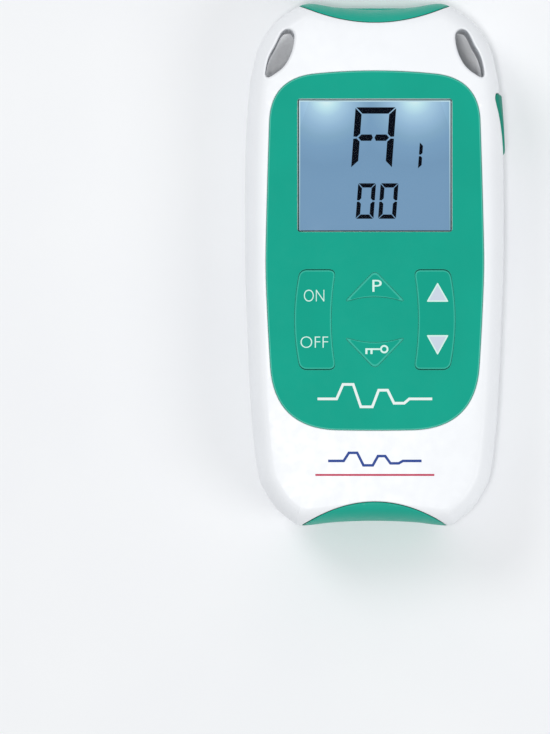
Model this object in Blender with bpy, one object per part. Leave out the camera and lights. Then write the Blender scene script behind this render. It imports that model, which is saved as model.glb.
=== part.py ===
"""Handheld two-channel TENS unit: a waisted two-part case with a green fascia, an LCD, rubber keys,
a side boost button, two lead sockets in the top end and two AA cells under a sliding door.

Frame: the unit lies on its back. +Z is the face, +Y the lead-socket end, +X the boost-button side.
The origin is on the middle of the back's rest plane. Sizes here are in millimetres.
"""
import math

import bmesh
import bpy
from mathutils import Vector

MM = 0.001

# Overall
LENGTH = 124.0
WIDTH = 61.2
WALL = 2.0
GAP = 0.3             # between neighbouring pieces
CUT = 5.0             # how far a cutter runs past what it cuts

# Stack from the back to the face
DOOR_RECESS = 0.3
DOOR_T = 1.5
BATTERY_D = 14.2
BAY_ROOF_T = 1.0
BOARD_T = 1.2
MAT_T = 0.8
KEY_CLEAR = 0.9       # keypad mat to the underside of a key
FLANGE_T = 1.2
FLANGE_DROP = 0.7     # top of a key's flange to the underside of the fascia
FASCIA_T = 1.6
KEY_PROUD = 0.3
RIM_T = 1.2           # ledge of the front shell that carries the fascia

DOOR_Z = DOOR_RECESS
CELL_Z = DOOR_Z + DOOR_T + GAP
BAY_ROOF_Z = CELL_Z + BATTERY_D + GAP
BOARD_Z = BAY_ROOF_Z + BAY_ROOF_T + GAP
BOARD_TOP = BOARD_Z + BOARD_T
MAT_Z = BOARD_TOP + GAP
FLANGE_Z = MAT_Z + MAT_T + KEY_CLEAR
FASCIA_Z = FLANGE_Z + FLANGE_T + FLANGE_DROP
FACE_Z = FASCIA_Z + FASCIA_T
RIM_TOP = FASCIA_Z - GAP
ROOF_Z = RIM_TOP - RIM_T
SPLIT_Z = FACE_Z / 2

HALF_L = LENGTH / 2
HALF_W = WIDTH / 2

# Case outline, right half, anticlockwise: (distance in from the side, distance in from the end)
BOTTOM_CORNER = ((21.6, 1.2), (12.6, 0.3), (8.4, 3.2), (4.6, 7.1), (2.9, 10.9))
LOWER_SIDE = ((1.9, 20.0), (1.3, 30.0), (0.55, 47.0))
UPPER_SIDE = ((0.0, 60.0), (0.1, 36.0), (0.9, 22.0))
TOP_CORNER = ((1.8, 16.0), (3.4, 10.2), (6.7, 5.2), (11.0, 1.8), (15.1, 0.15), (22.0, 1.1))
TOP_DISH = 1.6        # how far the middle of the top end dips
BOTTOM_DISH = 1.5
OUTLINE_STEPS = 3

# Edge roll: (inset from the outline, share of the half depth above the parting plane)
FACE_ROLL = ((0.0, 0.30), (0.35, 0.60), (1.2, 0.82), (2.5, 0.945), (4.2, 1.0))
BACK_ROLL = ((0.0, 0.30), (0.4, 0.62), (1.5, 0.84), (3.2, 0.96), (5.0, 1.0))

# End caps: (half width at the tips, depth in the middle)
TOP_CAP = (18.3, 4.9)
BOTTOM_CAP = (17.0, 6.1)
CAP_TIP = 0.5         # how far below the end the tips lie
CAVITY_END = 9.4      # solid end of the case, from the end to the cavity
TOP_CAVITY_END = 7.4

# Lanyard slots: mid-line points (distance in from the side, distance in from the end), right side
SLOT_MIDLINE = ((10.2, 7.6), (9.1, 11.0), (7.4, 14.2), (5.6, 17.0))
SLOT_HALF_WIDTH = (1.5, 2.1, 2.1, 0.9)
SLOT_WALL = 1.6
CORNER_DROP = 3.0     # solid corner above each slot's top end, down past it

# Fascia: corners and how far each corner is cut back before it is rounded
FASCIA_HALF_W = 25.45
FASCIA_TOP_HALF_W = 24.2
FASCIA_LOW_HALF_W = 23.3
FASCIA_TOP = 17.15    # from the top end
FASCIA_BOTTOM = 23.3  # from the bottom end
FASCIA_TOP_CUT = 9.4
FASCIA_BOTTOM_CUT = 14.0
RIM_WIDTH = 1.8

# Display
WINDOW_W = 36.3
WINDOW_H = 31.2
WINDOW_FROM_TOP = 23.0   # top edge of the window from the top end
WINDOW_T = 1.25
HOLDER_WALL = 1.5
DIFFUSER_T = 0.9
ZEBRA_H = 2.6
LED_SIZE = (3.0, 1.6, 0.8)
LED_SPACING = 21.0

# Keys, placed from the window's lower edge
KEYS_BELOW_WINDOW = 9.1
KEY_FIELD_H = 23.3
ROCKER_W = 8.4
ROCKER_OUT = 17.6        # centre to the outer corners of a rocker key
ROCKER_BULGE = 1.3
ROCKER_HOLLOW = 1.05
ROCKER_CUT = 1.7
ARROW_HALF_W = 7.3
ARROW_H = 7.6
ARROW_SAG = 1.3
ARROW_CUT = 1.5
FLANGE_W = 0.8
PILL_D = 4.0
PILL_CLEAR = 0.35        # a pill's gap to the board, which is a key's travel
PILL_HOLE_D = 5.6
ROCKER_CONTACT = 5.6     # pill from the middle of a rocker, along the case
ARROW_CONTACT = 4.6      # pill from the tip of an arrow key
MAT_MARGIN = 2.4

# Boost button in the right side, placed from the top end
BOOST_FROM_TOP = 28.8
BOOST_L = 14.4
BOOST_DOWN = 4.8         # below and above the parting plane
BOOST_UP = 10.4
BOOST_TAPER = 6.4
BOOST_POCKET = 4.1       # depth of its opening in from the side
BOOST_CUT = 3.0
BOOST_PROUD = 0.45
BOOST_FLANGE_T = 1.2
BOOST_FLANGE_W = 0.8
BOOST_JOIN = 0.1         # how far the button runs into its flange
BOOST_TRAVEL = 0.5
SWITCH_BODY = (4.0, 6.0, 4.2)
SWITCH_PIN = (1.4, 2.4, 2.0)

# Battery bay and door
CELL_L = 49.4
NUB_L = 1.1
NUB_D = 5.4
CELL_SPACE = 0.7         # between the two cells
BAY_SIDE = 0.3
SPRING_L = 3.2
SPRING_WIRE = 0.7
SPRING_TURNS = 3
SPRING_WIDE = 3.8        # radius of the first and of the last turn
SPRING_NARROW = 2.2
PLATE_T = 0.4
PLATE_W = 9.0
PLATE_H = 8.0
BAY_WALL = 1.2
CHANNEL_FLOOR = 1.2      # case floor above the door's channel
FLOOR_STEP = 0.8         # ledge where the thicker floor around the door ends
DOOR_OVERLAP = 2.2       # how far the door reaches past the bay on each side
DOOR_TOP_OVERLAP = 2.0
THUMB_RIBS = 5

# Fasteners
SCREW_D = 2.5
HEAD_D = 4.8
HEAD_T = 1.7
HEAD_DEPTH = 1.6         # head sunk below the back
BOSS_WALL = 1.9
TOP_SCREW = (13.0, 11.6)     # from the centre line, from the top end
SCREW_BESIDE_DOOR = 1.95     # door's edge to the head of a bottom screw
BOTTOM_SCREW_Y = 16.6        # from the bottom end
POST_D = 3.6
POST_ABOVE_BAY = 5.5

# Lead sockets in the top end
SOCKET_X = 4.6
SOCKET_D = 7.4
SOCKET_BORE = 5.0
SOCKET_L = 9.6
SOCKET_PIN = 1.6
SOCKET_FLOOR = 1.6

# Board and what hangs under it
BOARD_SIDE = 6.2         # from the side of the case to the edge of the board
BOARD_HALF_W = HALF_W - BOARD_SIDE
BOARD_TOP_END = 18.6     # board from the top end
BOARD_BOTTOM_END = 24.0
TRANSFORMER = (13.0, 14.0, 10.6)
TRANSFORMER_X = 13.5
TRANSFORMER_FROM_TOP = 47.0
CHIP = (10.0, 10.0, 1.4)
CHIP_FROM_TOP = 27.0
CAPACITOR_D = 8.0
CAPACITOR_L = 11.5
CAPACITOR_X = 14.0
COIL_D = 7.8
COIL_H = 5.4
COIL_FROM_TOP = 44.0

SIDES = (("left", -1), ("right", 1))


# ---------------------------------------------------------------- building blocks

def clear_scene():
    for thing in list(bpy.data.objects):
        bpy.data.objects.remove(thing, do_unlink=True)


def make_material(name, colour, roughness=0.5, metallic=0.0, alpha=1.0):
    material = bpy.data.materials.new(name)
    material.use_nodes = True
    shader = material.node_tree.nodes["Principled BSDF"]
    shader.inputs["Base Color"].default_value = (*colour, 1.0)
    shader.inputs["Roughness"].default_value = roughness
    shader.inputs["Metallic"].default_value = metallic
    shader.inputs["Alpha"].default_value = alpha
    return material


def to_object(name, mesh_data, origin, material, smooth):
    """Make an object from a bmesh in millimetres, with its origin at the given point."""
    for vert in mesh_data.verts:
        vert.co = (vert.co - Vector(origin)) * MM
    bmesh.ops.recalc_face_normals(mesh_data, faces=mesh_data.faces)
    mesh = bpy.data.meshes.new(name)
    mesh_data.to_mesh(mesh)
    mesh_data.free()
    if smooth:
        mesh.shade_smooth()
        mesh.set_sharp_from_angle(angle=math.radians(35))
    thing = bpy.data.objects.new(name, mesh)
    thing.location = Vector(origin) * MM
    bpy.context.scene.collection.objects.link(thing)
    if material:
        mesh.materials.append(material)
    return thing


def loft(name, rings, material=None, origin=(0, 0, 0), smooth=True):
    """Close a stack of rings with the same number of points into one solid."""
    solid = bmesh.new()
    loops = [[solid.verts.new(point) for point in ring] for ring in rings]
    count = len(rings[0])
    for low, high in zip(loops, loops[1:]):
        for i in range(count):
            j = (i + 1) % count
            solid.faces.new((low[i], low[j], high[j], high[i]))
    solid.faces.new(list(reversed(loops[0])))
    solid.faces.new(loops[-1])
    return to_object(name, solid, origin, material, smooth)


def prism(name, outline, low, high, material=None, origin=(0, 0, 0), smooth=False):
    rings = [[(x, y, z) for x, y in outline] for z in (low, high)]
    return loft(name, rings, material, origin, smooth)


def box(name, low, high, material=None, origin=(0, 0, 0)):
    outline = [(low[0], low[1]), (high[0], low[1]), (high[0], high[1]), (low[0], high[1])]
    return prism(name, outline, low[2], high[2], material, origin)


def turned(name, profile, centre, axis, material=None, origin=(0, 0, 0), sides=24):
    """Turn (radius, height) steps about an axis through centre; Z, Y or X."""
    rings = []
    for radius, height in profile:
        ring = []
        for i in range(sides):
            turn = 2 * math.pi * (i + 0.5) / sides
            a = radius * math.cos(turn)
            b = radius * math.sin(turn)
            offset = {"Z": (a, b, height), "Y": (b, height, a), "X": (height, a, b)}[axis]
            ring.append(tuple(c + d for c, d in zip(centre, offset)))
        rings.append(ring)
    return loft(name, rings, material, origin)


def cylinder(name, radius, centre, axis, length, material=None, origin=(0, 0, 0), sides=24):
    return turned(name, ((radius, 0), (radius, length)), centre, axis, material, origin, sides)


def apply_tool(thing, tool, operation):
    tool.hide_render = True
    tool.display_type = "WIRE"
    modifier = thing.modifiers.new(tool.name, "BOOLEAN")
    modifier.operation = operation
    modifier.object = tool


def cut(thing, tool):
    apply_tool(thing, tool, "DIFFERENCE")


def join(thing, tool):
    apply_tool(thing, tool, "UNION")


def keep_inside(thing, tool):
    apply_tool(thing, tool, "INTERSECT")


# ---------------------------------------------------------------- outlines

def closed_spline(points, steps):
    """Smooth closed curve through the points, as Catmull-Rom segments."""
    count = len(points)
    curve = []
    for i in range(count):
        around = [points[(i + j) % count] for j in (-1, 0, 1, 2)]
        for step in range(steps):
            t = step / steps
            curve.append(tuple(
                0.5 * (2 * b + (c - a) * t + (2 * a - 5 * b + 4 * c - d) * t * t
                       + (3 * b - a - 3 * c + d) * t ** 3)
                for a, b, c, d in zip(*around)))
    return curve


def case_outline():
    """Closed outline of the case, anticlockwise from the middle of the bottom end."""
    half = [(0.0, BOTTOM_DISH - HALF_L)]
    half += [(HALF_W - side, end - HALF_L) for side, end in BOTTOM_CORNER]
    half += [(HALF_W - side, end - HALF_L) for side, end in LOWER_SIDE]
    half += [(HALF_W - side, HALF_L - end) for side, end in UPPER_SIDE]
    half += [(HALF_W - side, HALF_L - end) for side, end in TOP_CORNER]
    half.append((0.0, HALF_L - TOP_DISH))
    return closed_spline(half + [(-x, y) for x, y in reversed(half[1:-1])], OUTLINE_STEPS)


def inset(outline, distance):
    """Move an outline inwards, with its directions averaged over a few neighbours."""
    count = len(outline)
    moved = []
    for i, (x, y) in enumerate(outline):
        ahead = outline[(i + 2) % count]
        behind = outline[i - 2]
        run = (ahead[0] - behind[0], ahead[1] - behind[1])
        size = math.hypot(*run)
        moved.append((x - run[1] / size * distance, y + run[0] / size * distance))
    return moved


def arc_edge(start, end, sag, low, high, steps):
    """Points of a shallow arc between two corners, from share low to share high of its length."""
    run = (end[0] - start[0], end[1] - start[1])
    size = math.hypot(*run)
    side = (run[1] / size, -run[0] / size)
    points = []
    for i in range(steps + 1):
        t = low + (high - low) * i / steps
        bow = 4 * sag * t * (1 - t)
        points.append((start[0] + run[0] * t + side[0] * bow, start[1] + run[1] * t + side[1] * bow))
    return points


def soft_polygon(corners, sags, cuts, edge_steps=4, corner_steps=4):
    """Anticlockwise outline with bowed edges and rounded corners; a positive sag bows outwards."""
    count = len(corners)
    edges = []
    for i in range(count):
        start = corners[i]
        end = corners[(i + 1) % count]
        size = math.dist(start, end)
        steps = edge_steps if sags[i] else 1
        low = cuts[i] / size
        high = 1 - cuts[(i + 1) % count] / size
        edges.append(arc_edge(start, end, sags[i], low, high, steps))
    outline = []
    for i, edge in enumerate(edges):
        following = edges[(i + 1) % count]
        outline += edge
        leave = Vector(edge[-1])
        arrive = Vector(following[0])
        corner = Vector(corners[(i + 1) % count])
        for step in range(1, corner_steps):
            t = step / corner_steps
            point = leave * (1 - t) ** 2 + corner * 2 * t * (1 - t) + arrive * t * t
            outline.append((point.x, point.y))
    return outline


def grow(outline, distance):
    """Move an outline outwards along its directions."""
    count = len(outline)
    moved = []
    for i, (x, y) in enumerate(outline):
        ahead = Vector(outline[(i + 1) % count]) - Vector((x, y))
        behind = Vector((x, y)) - Vector(outline[i - 1])
        side_a = Vector((ahead.y, -ahead.x)).normalized()
        side_b = Vector((behind.y, -behind.x)).normalized()
        middle = (side_a + side_b).normalized()
        reach = distance / max(middle.dot(side_a), 0.6)
        moved.append((x + middle.x * reach, y + middle.y * reach))
    return moved


def mirrored(outline):
    return [(-x, y) for x, y in reversed(outline)]


def rectangle(x0, y0, x1, y1, corner):
    corners = ((x0, y0), (x1, y0), (x1, y1), (x0, y1))
    return soft_polygon(corners, (0,) * 4, (corner,) * 4)


def slot_outline(grown=0.0):
    """Leaf-shaped lanyard slot in the right top corner."""
    middle = [(HALF_W - side, HALF_L - end) for side, end in SLOT_MIDLINE]
    left = []
    right = []
    for i, (x, y) in enumerate(middle):
        ahead = middle[min(i + 1, len(middle) - 1)]
        behind = middle[max(i - 1, 0)]
        run = Vector((ahead[0] - behind[0], ahead[1] - behind[1])).normalized()
        half = SLOT_HALF_WIDTH[i] + grown
        left.append((x + run.y * half, y - run.x * half))
        right.append((x - run.y * half, y + run.x * half))
    first = Vector(middle[0]) - Vector(middle[1])
    last = Vector(middle[-1]) - Vector(middle[-2])
    top = Vector(middle[0]) + first.normalized() * (SLOT_HALF_WIDTH[0] * 0.7 + grown)
    tip = Vector(middle[-1]) + last.normalized() * (SLOT_HALF_WIDTH[-1] + grown)
    loop = [tuple(top)] + right + [tuple(tip)] + list(reversed(left))
    closed = closed_spline(loop, 3)
    area = sum(a[0] * b[1] - b[0] * a[1] for a, b in zip(closed, closed[1:] + closed[:1]))
    return closed if area > 0 else list(reversed(closed))


def fascia_outline():
    top = HALF_L - FASCIA_TOP
    bottom = FASCIA_BOTTOM - HALF_L
    corners = (
        (-FASCIA_LOW_HALF_W, bottom + 0.6),
        (FASCIA_LOW_HALF_W, bottom + 0.6),
        (FASCIA_HALF_W, 0.0),
        (FASCIA_TOP_HALF_W, top - 1.6),
        (-FASCIA_TOP_HALF_W, top - 1.6),
        (-FASCIA_HALF_W, 0.0),
    )
    sags = (0.65, 0.25, 0.1, 2.1, 0.1, 0.25)
    cuts = (
        FASCIA_BOTTOM_CUT, FASCIA_BOTTOM_CUT, 4.0, FASCIA_TOP_CUT, FASCIA_TOP_CUT, 4.0)
    return soft_polygon(corners, sags, cuts, 4, 6)


WINDOW_TOP = HALF_L - WINDOW_FROM_TOP
WINDOW_Y = WINDOW_TOP - WINDOW_H / 2
KEYS_TOP = WINDOW_TOP - WINDOW_H - KEYS_BELOW_WINDOW
KEYS_BOTTOM = KEYS_TOP - KEY_FIELD_H
KEYS_Y = (KEYS_TOP + KEYS_BOTTOM) / 2


def rocker_outline():
    """Right rocker key: it bulges outwards and is hollowed towards the middle of the fascia."""
    inner = ROCKER_OUT - ROCKER_W
    corners = (
        (inner, KEYS_BOTTOM), (ROCKER_OUT, KEYS_BOTTOM), (ROCKER_OUT, KEYS_TOP), (inner, KEYS_TOP))
    sags = (0.0, ROCKER_BULGE, 0.0, -ROCKER_HOLLOW)
    return soft_polygon(corners, sags, (ROCKER_CUT,) * 4, 8)


def arrow_outline(tip, way):
    """Arrow key with its tip at the given height, pointing up (way 1) or down (way -1)."""
    base = tip - way * ARROW_H
    corners = [(-ARROW_HALF_W, base), (ARROW_HALF_W, base), (0.0, tip)]
    sags = [-ARROW_SAG, 0.0, 0.0]
    outline = soft_polygon(corners if way > 0 else [(x, -y) for x, y in corners], sags,
                           (ARROW_CUT,) * 3, 6)
    if way < 0:
        outline = [(x, -y) for x, y in reversed(outline)]
    return outline


# ---------------------------------------------------------------- the case

OUTLINE = case_outline()


def face_rings(start):
    """Rings of the case from a start height up to the face."""
    rings = [[(x, y, start) for x, y in OUTLINE]]
    for distance, share in FACE_ROLL:
        z = SPLIT_Z + (FACE_Z - SPLIT_Z) * share
        rings.append([(x, y, z) for x, y in inset(OUTLINE, distance)])
    return rings


def back_rings(end):
    """Rings of the case from the back up to an end height."""
    rings = []
    for distance, share in reversed(BACK_ROLL):
        z = SPLIT_Z * (1 - share)
        rings.append([(x, y, z) for x, y in inset(OUTLINE, distance)])
    rings.append([(x, y, end) for x, y in OUTLINE])
    return rings


def side_x(y):
    """Half width of the case at a height along it."""
    right = [point for point in OUTLINE if point[0] > 0]
    for low, high in zip(right, right[1:]):
        if low[1] <= y <= high[1]:
            return low[0] + (high[0] - low[0]) * (y - low[1]) / (high[1] - low[1])
    return right[0][0]


def whole_case(name, material=None):
    rings = back_rings(SPLIT_Z) + face_rings(SPLIT_Z)[1:]
    return loft(name, rings, material)


def cavity(name, low, high, step=0.0):
    """Space inside the walls, stopped short of both ends and kept clear of the lanyard slots.

    A step makes the space that much smaller all round.
    """
    space = prism(name, inset(OUTLINE, WALL + step), low, high)
    for side_name, side in SIDES:
        outline = slot_outline(SLOT_WALL + step)
        if side < 0:
            outline = mirrored(outline)
        cut(space, prism(f"{name}_slot_{side_name}", outline, low - CUT, high + CUT))
    bottom = CAVITY_BOTTOM + step
    top = HALF_L - TOP_CAVITY_END - step
    keep = box(f"{name}_ends", (-WIDTH, bottom, low - CUT), (WIDTH, top, high + CUT))
    keep_inside(space, keep)
    side_x = (HALF_W - SLOT_MIDLINE[0][0]) - SLOT_HALF_WIDTH[0] - SLOT_WALL - step
    corner_y = HALF_L - SLOT_MIDLINE[0][1] - CORNER_DROP
    for side_name, side in SIDES:
        x0, x1 = sorted((side * side_x, side * WIDTH))
        corner = box(f"{name}_corner_{side_name}", (x0, corner_y, low - CUT), (x1, HALF_L, high + CUT))
        cut(space, corner)
    return space


def cap_zone(name, size, end, grown, low):
    """Lens-shaped zone that an end cap fills; end is 1 at the top and -1 at the bottom."""
    half, depth = size
    corner = HALF_L - CAP_TIP
    arc = arc_edge((half + grown, corner), (-half - grown, corner), 0.0, 0.0, 1.0, 14)
    bow = depth - CAP_TIP
    points = []
    for x, y in arc:
        share = 1 - (x / (half + grown)) ** 2
        points.append((x, end * (y - bow * share - grown)))
    points += [(-half - grown, end * (HALF_L + CUT)), (half + grown, end * (HALF_L + CUT))]
    if end > 0:
        points.reverse()
    return prism(name, points, low, FACE_Z + CUT)


def screw_places():
    top = HALF_L - TOP_SCREW[1]
    bottom = BOTTOM_SCREW_Y - HALF_L
    beside_door = DOOR_HALF_W + SCREW_BESIDE_DOOR + HEAD_D / 2
    return (
        ("top_left", -TOP_SCREW[0], top), ("top_right", TOP_SCREW[0], top),
        ("bottom_left", -beside_door, bottom), ("bottom_right", beside_door, bottom))


def boost_outline(grown=0.0):
    """Side outline of the boost button in (Y, Z), taller towards the top end."""
    middle = HALF_L - BOOST_FROM_TOP
    near = middle - BOOST_L / 2
    far = middle + BOOST_L / 2
    corners = (
        (near, SPLIT_Z - BOOST_DOWN), (far, SPLIT_Z - BOOST_DOWN), (far, SPLIT_Z + BOOST_UP),
        (near, SPLIT_Z + BOOST_UP - BOOST_TAPER))
    return grow(soft_polygon(corners, (0,) * 4, (BOOST_CUT,) * 4), grown)


def side_prism(name, outline, x0, x1, material=None, origin=(0, 0, 0)):
    """Prism along X from an outline in (Y, Z)."""
    rings = [[(x, y, z) for y, z in outline] for x in (x0, x1)]
    return loft(name, rings, material, origin, smooth=False)


def common_cuts(shell, tag):
    """What passes through both shells: slots, end caps, lead sockets and the boost button."""
    for side_name, side in SIDES:
        outline = slot_outline()
        if side < 0:
            outline = mirrored(outline)
        cut(shell, prism(f"{tag}_slot_{side_name}", outline, -CUT, FACE_Z + CUT))
        centre = (side * SOCKET_X, HALF_L - TOP_CAVITY_END - CUT, SPLIT_Z)
        cut(shell, cylinder(f"{tag}_socket_{side_name}", SOCKET_D / 2 + GAP, centre, "Y", 2 * CUT))
    cut(shell, cap_zone(f"{tag}_top_cap", TOP_CAP, 1, GAP, -CUT))
    cut(shell, cap_zone(f"{tag}_bottom_cap", BOTTOM_CAP, -1, GAP, DOOR_Z + DOOR_T))
    cut(shell, side_prism(f"{tag}_boost", boost_outline(GAP), HALF_W - BOOST_POCKET, HALF_W + CUT))


def make_front_shell(material):
    shell = loft("front_shell", face_rings(SPLIT_Z + GAP / 2), material)
    cut(shell, cavity("front_cavity", SPLIT_Z - CUT, ROOF_Z))
    for name, x, y in screw_places():
        radius = SCREW_D / 2 + GAP + BOSS_WALL
        start = SPLIT_Z + GAP / 2 + 1.0
        boss = cylinder(f"front_boss_{name}", radius, (x, y, start), "Z", RIM_TOP - start, sides=16)
        join(shell, boss)
        hole = cylinder(f"front_bore_{name}", SCREW_D / 2 + GAP, (x, y, start - CUT), "Z",
                        ROOF_Z - start + CUT - 1.0, sides=16)
        cut(shell, hole)
    cut(shell, prism("fascia_recess", grow(fascia_outline(), GAP), RIM_TOP, FACE_Z + CUT))
    cut(shell, prism("fascia_opening", grow(fascia_outline(), -RIM_WIDTH), SPLIT_Z, FACE_Z + CUT))
    common_cuts(shell, "front")
    return shell


BAY_HALF_W = BATTERY_D + CELL_SPACE / 2 + BAY_SIDE
CAVITY_BOTTOM = CAVITY_END - HALF_L
BAY_BOTTOM = CAVITY_BOTTOM + GAP + BAY_WALL
BAY_LENGTH = CELL_L + NUB_L + SPRING_L + 2 * PLATE_T + 4 * GAP
BAY_TOP = BAY_BOTTOM + BAY_LENGTH
DOOR_HALF_W = BAY_HALF_W + DOOR_OVERLAP
DOOR_TOP_Y = BAY_TOP + DOOR_TOP_OVERLAP


def door_outline(grown):
    low = -HALF_L - CUT
    return rectangle(-DOOR_HALF_W - grown, low, DOOR_HALF_W + grown, DOOR_TOP_Y + grown, 2.5)


def make_rear_shell(material):
    shell = loft("rear_shell", back_rings(SPLIT_Z - GAP / 2), material)
    floor = DOOR_Z + DOOR_T + GAP + CHANNEL_FLOOR
    root = WALL - 0.5
    cut(shell, cavity("rear_cavity", floor, SPLIT_Z + CUT))
    upper = cavity("rear_upper_cavity", WALL, floor + 1.0, FLOOR_STEP)
    keep_inside(upper, box("above_door", (-WIDTH, DOOR_TOP_Y + WALL, 0), (WIDTH, HALF_L, SPLIT_Z)))
    cut(shell, upper)
    bay = box("bay_outside", (-BAY_HALF_W - BAY_WALL, BAY_BOTTOM - BAY_WALL, root),
              (BAY_HALF_W + BAY_WALL, BAY_TOP + BAY_WALL, BAY_ROOF_Z + BAY_ROOF_T))
    join(shell, bay)
    for name, x, y in screw_places():
        radius = HEAD_D / 2 + GAP + BOSS_WALL - 0.6
        height = SPLIT_Z - GAP / 2 - root
        join(shell, cylinder(f"rear_boss_{name}", radius, (x, y, root), "Z", height, sides=16))
    for side_name, side in SIDES:
        for end_name, y in (("top", BAY_TOP + POST_ABOVE_BAY), ("bottom", BOARD_BOTTOM_END - HALF_L + 8.0)):
            centre = (side * (BOARD_HALF_W - 2.4), y, root)
            height = BOARD_Z - GAP - centre[2]
            post = cylinder(f"post_{end_name}_{side_name}", POST_D / 2, centre, "Z", height, sides=10)
            join(shell, post)
    for name, x, y in screw_places():
        start = (x, y, -CUT)
        sink = CUT + HEAD_DEPTH + HEAD_T + GAP
        cut(shell, cylinder(f"rear_bore_{name}", SCREW_D / 2 + GAP, start, "Z", SPLIT_Z + 2 * CUT, sides=16))
        cut(shell, cylinder(f"rear_sink_{name}", HEAD_D / 2 + GAP, start, "Z", sink, sides=20))
    cut(shell, box("bay_inside", (-BAY_HALF_W, BAY_BOTTOM, -CUT), (BAY_HALF_W, BAY_TOP, BAY_ROOF_Z)))
    cut(shell, prism("door_channel", door_outline(GAP), -CUT, DOOR_Z + DOOR_T + GAP))
    common_cuts(shell, "rear")
    return shell


def make_end_cap(name, size, end, low, material):
    cap = whole_case(name, material)
    keep_inside(cap, cap_zone(f"{name}_zone", size, end, 0.0, low))
    if end > 0:
        for side_name, side in SIDES:
            centre = (side * SOCKET_X, HALF_L - 3 * CUT, SPLIT_Z)
            cut(cap, cylinder(f"{name}_hole_{side_name}", SOCKET_BORE / 2, centre, "Y", 4 * CUT))
    return cap


def make_door(material):
    origin = (0, DOOR_TOP_Y, DOOR_Z)
    door = whole_case("battery_door", material)
    keep_inside(door, prism("door_zone", door_outline(0.0), DOOR_Z, DOOR_Z + DOOR_T))
    for i in range(THUMB_RIBS):
        y = DOOR_TOP_Y - 5.0 - 2.2 * i
        cut(door, box(f"thumb_groove_{i}", (-7.0, y - 0.5, -CUT), (7.0, y + 0.5, DOOR_Z + 0.5)))
    door.location = (0, 0, 0)
    anchor = bpy.data.objects.new("door_slide", None)
    anchor.location = Vector(origin) * MM
    bpy.context.scene.collection.objects.link(anchor)
    door.parent = anchor
    door.matrix_parent_inverse.translation = -anchor.location
    return door


# ---------------------------------------------------------------- face

def window_outline(grown=0.0):
    half = WINDOW_W / 2 + grown
    return rectangle(-half, WINDOW_Y - WINDOW_H / 2 - grown, half, WINDOW_TOP + grown, 0.8)


def key_outlines():
    return {
        "key_on_off": mirrored(rocker_outline()),
        "key_intensity": rocker_outline(),
        "key_program": arrow_outline(KEYS_TOP, 1),
        "key_lock": arrow_outline(KEYS_BOTTOM, -1),
    }


def make_fascia(material):
    fascia = prism("fascia_panel", fascia_outline(), FASCIA_Z, FACE_Z, material)
    cut(fascia, prism("window_opening", window_outline(GAP), FASCIA_Z - CUT, FACE_Z + CUT))
    for name, outline in key_outlines().items():
        cut(fascia, prism(f"{name}_opening", grow(outline, GAP), FASCIA_Z - CUT, FACE_Z + CUT))
    return fascia


CONTACT_X = ROCKER_OUT - ROCKER_W / 2
CONTACTS = {
    "key_on_off": (
        ("on_contact", -CONTACT_X, KEYS_Y + ROCKER_CONTACT),
        ("off_contact", -CONTACT_X, KEYS_Y - ROCKER_CONTACT)),
    "key_intensity": (
        ("up_contact", CONTACT_X, KEYS_Y + ROCKER_CONTACT),
        ("down_contact", CONTACT_X, KEYS_Y - ROCKER_CONTACT)),
    "key_program": (("program_contact", 0.0, KEYS_TOP - ARROW_CONTACT),),
    "key_lock": (("lock_contact", 0.0, KEYS_BOTTOM + ARROW_CONTACT),),
}


def make_keys(material, carbon):
    """Keys with a flange under the fascia, each with its carbon pills; a rocker turns about its origin."""
    flange_top = FLANGE_Z + FLANGE_T
    pill_z = BOARD_TOP + PILL_CLEAR
    for name, outline in key_outlines().items():
        pills = CONTACTS[name]
        origin = (pills[0][1], sum(y for _, _, y in pills) / len(pills), FLANGE_Z)
        wide = grow(outline, FLANGE_W)
        levels = ((wide, FLANGE_Z), (wide, flange_top), (outline, flange_top), (outline, FACE_Z + KEY_PROUD))
        rings = [[(x, y, z) for x, y in ring] for ring, z in levels]
        key = loft(name, rings, material, origin, smooth=False)
        for pill_name, x, y in pills:
            height = FLANGE_Z - GAP - pill_z
            pill = cylinder(pill_name, PILL_D / 2, (x, y, pill_z), "Z", height, carbon, origin, sides=16)
            pill.parent = key
            pill.location = (0, 0, 0)


def make_keypad_mat(material):
    edge = ROCKER_OUT + ROCKER_BULGE + MAT_MARGIN
    outline = rectangle(-edge, KEYS_BOTTOM - MAT_MARGIN, edge, KEYS_TOP + MAT_MARGIN, 1.5)
    mat = prism("keypad_mat", outline, MAT_Z, MAT_Z + MAT_T, material)
    for pills in CONTACTS.values():
        for name, x, y in pills:
            cut(mat, cylinder(f"{name}_hole", PILL_HOLE_D / 2, (x, y, MAT_Z - CUT), "Z", 2 * CUT, sides=16))


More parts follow.
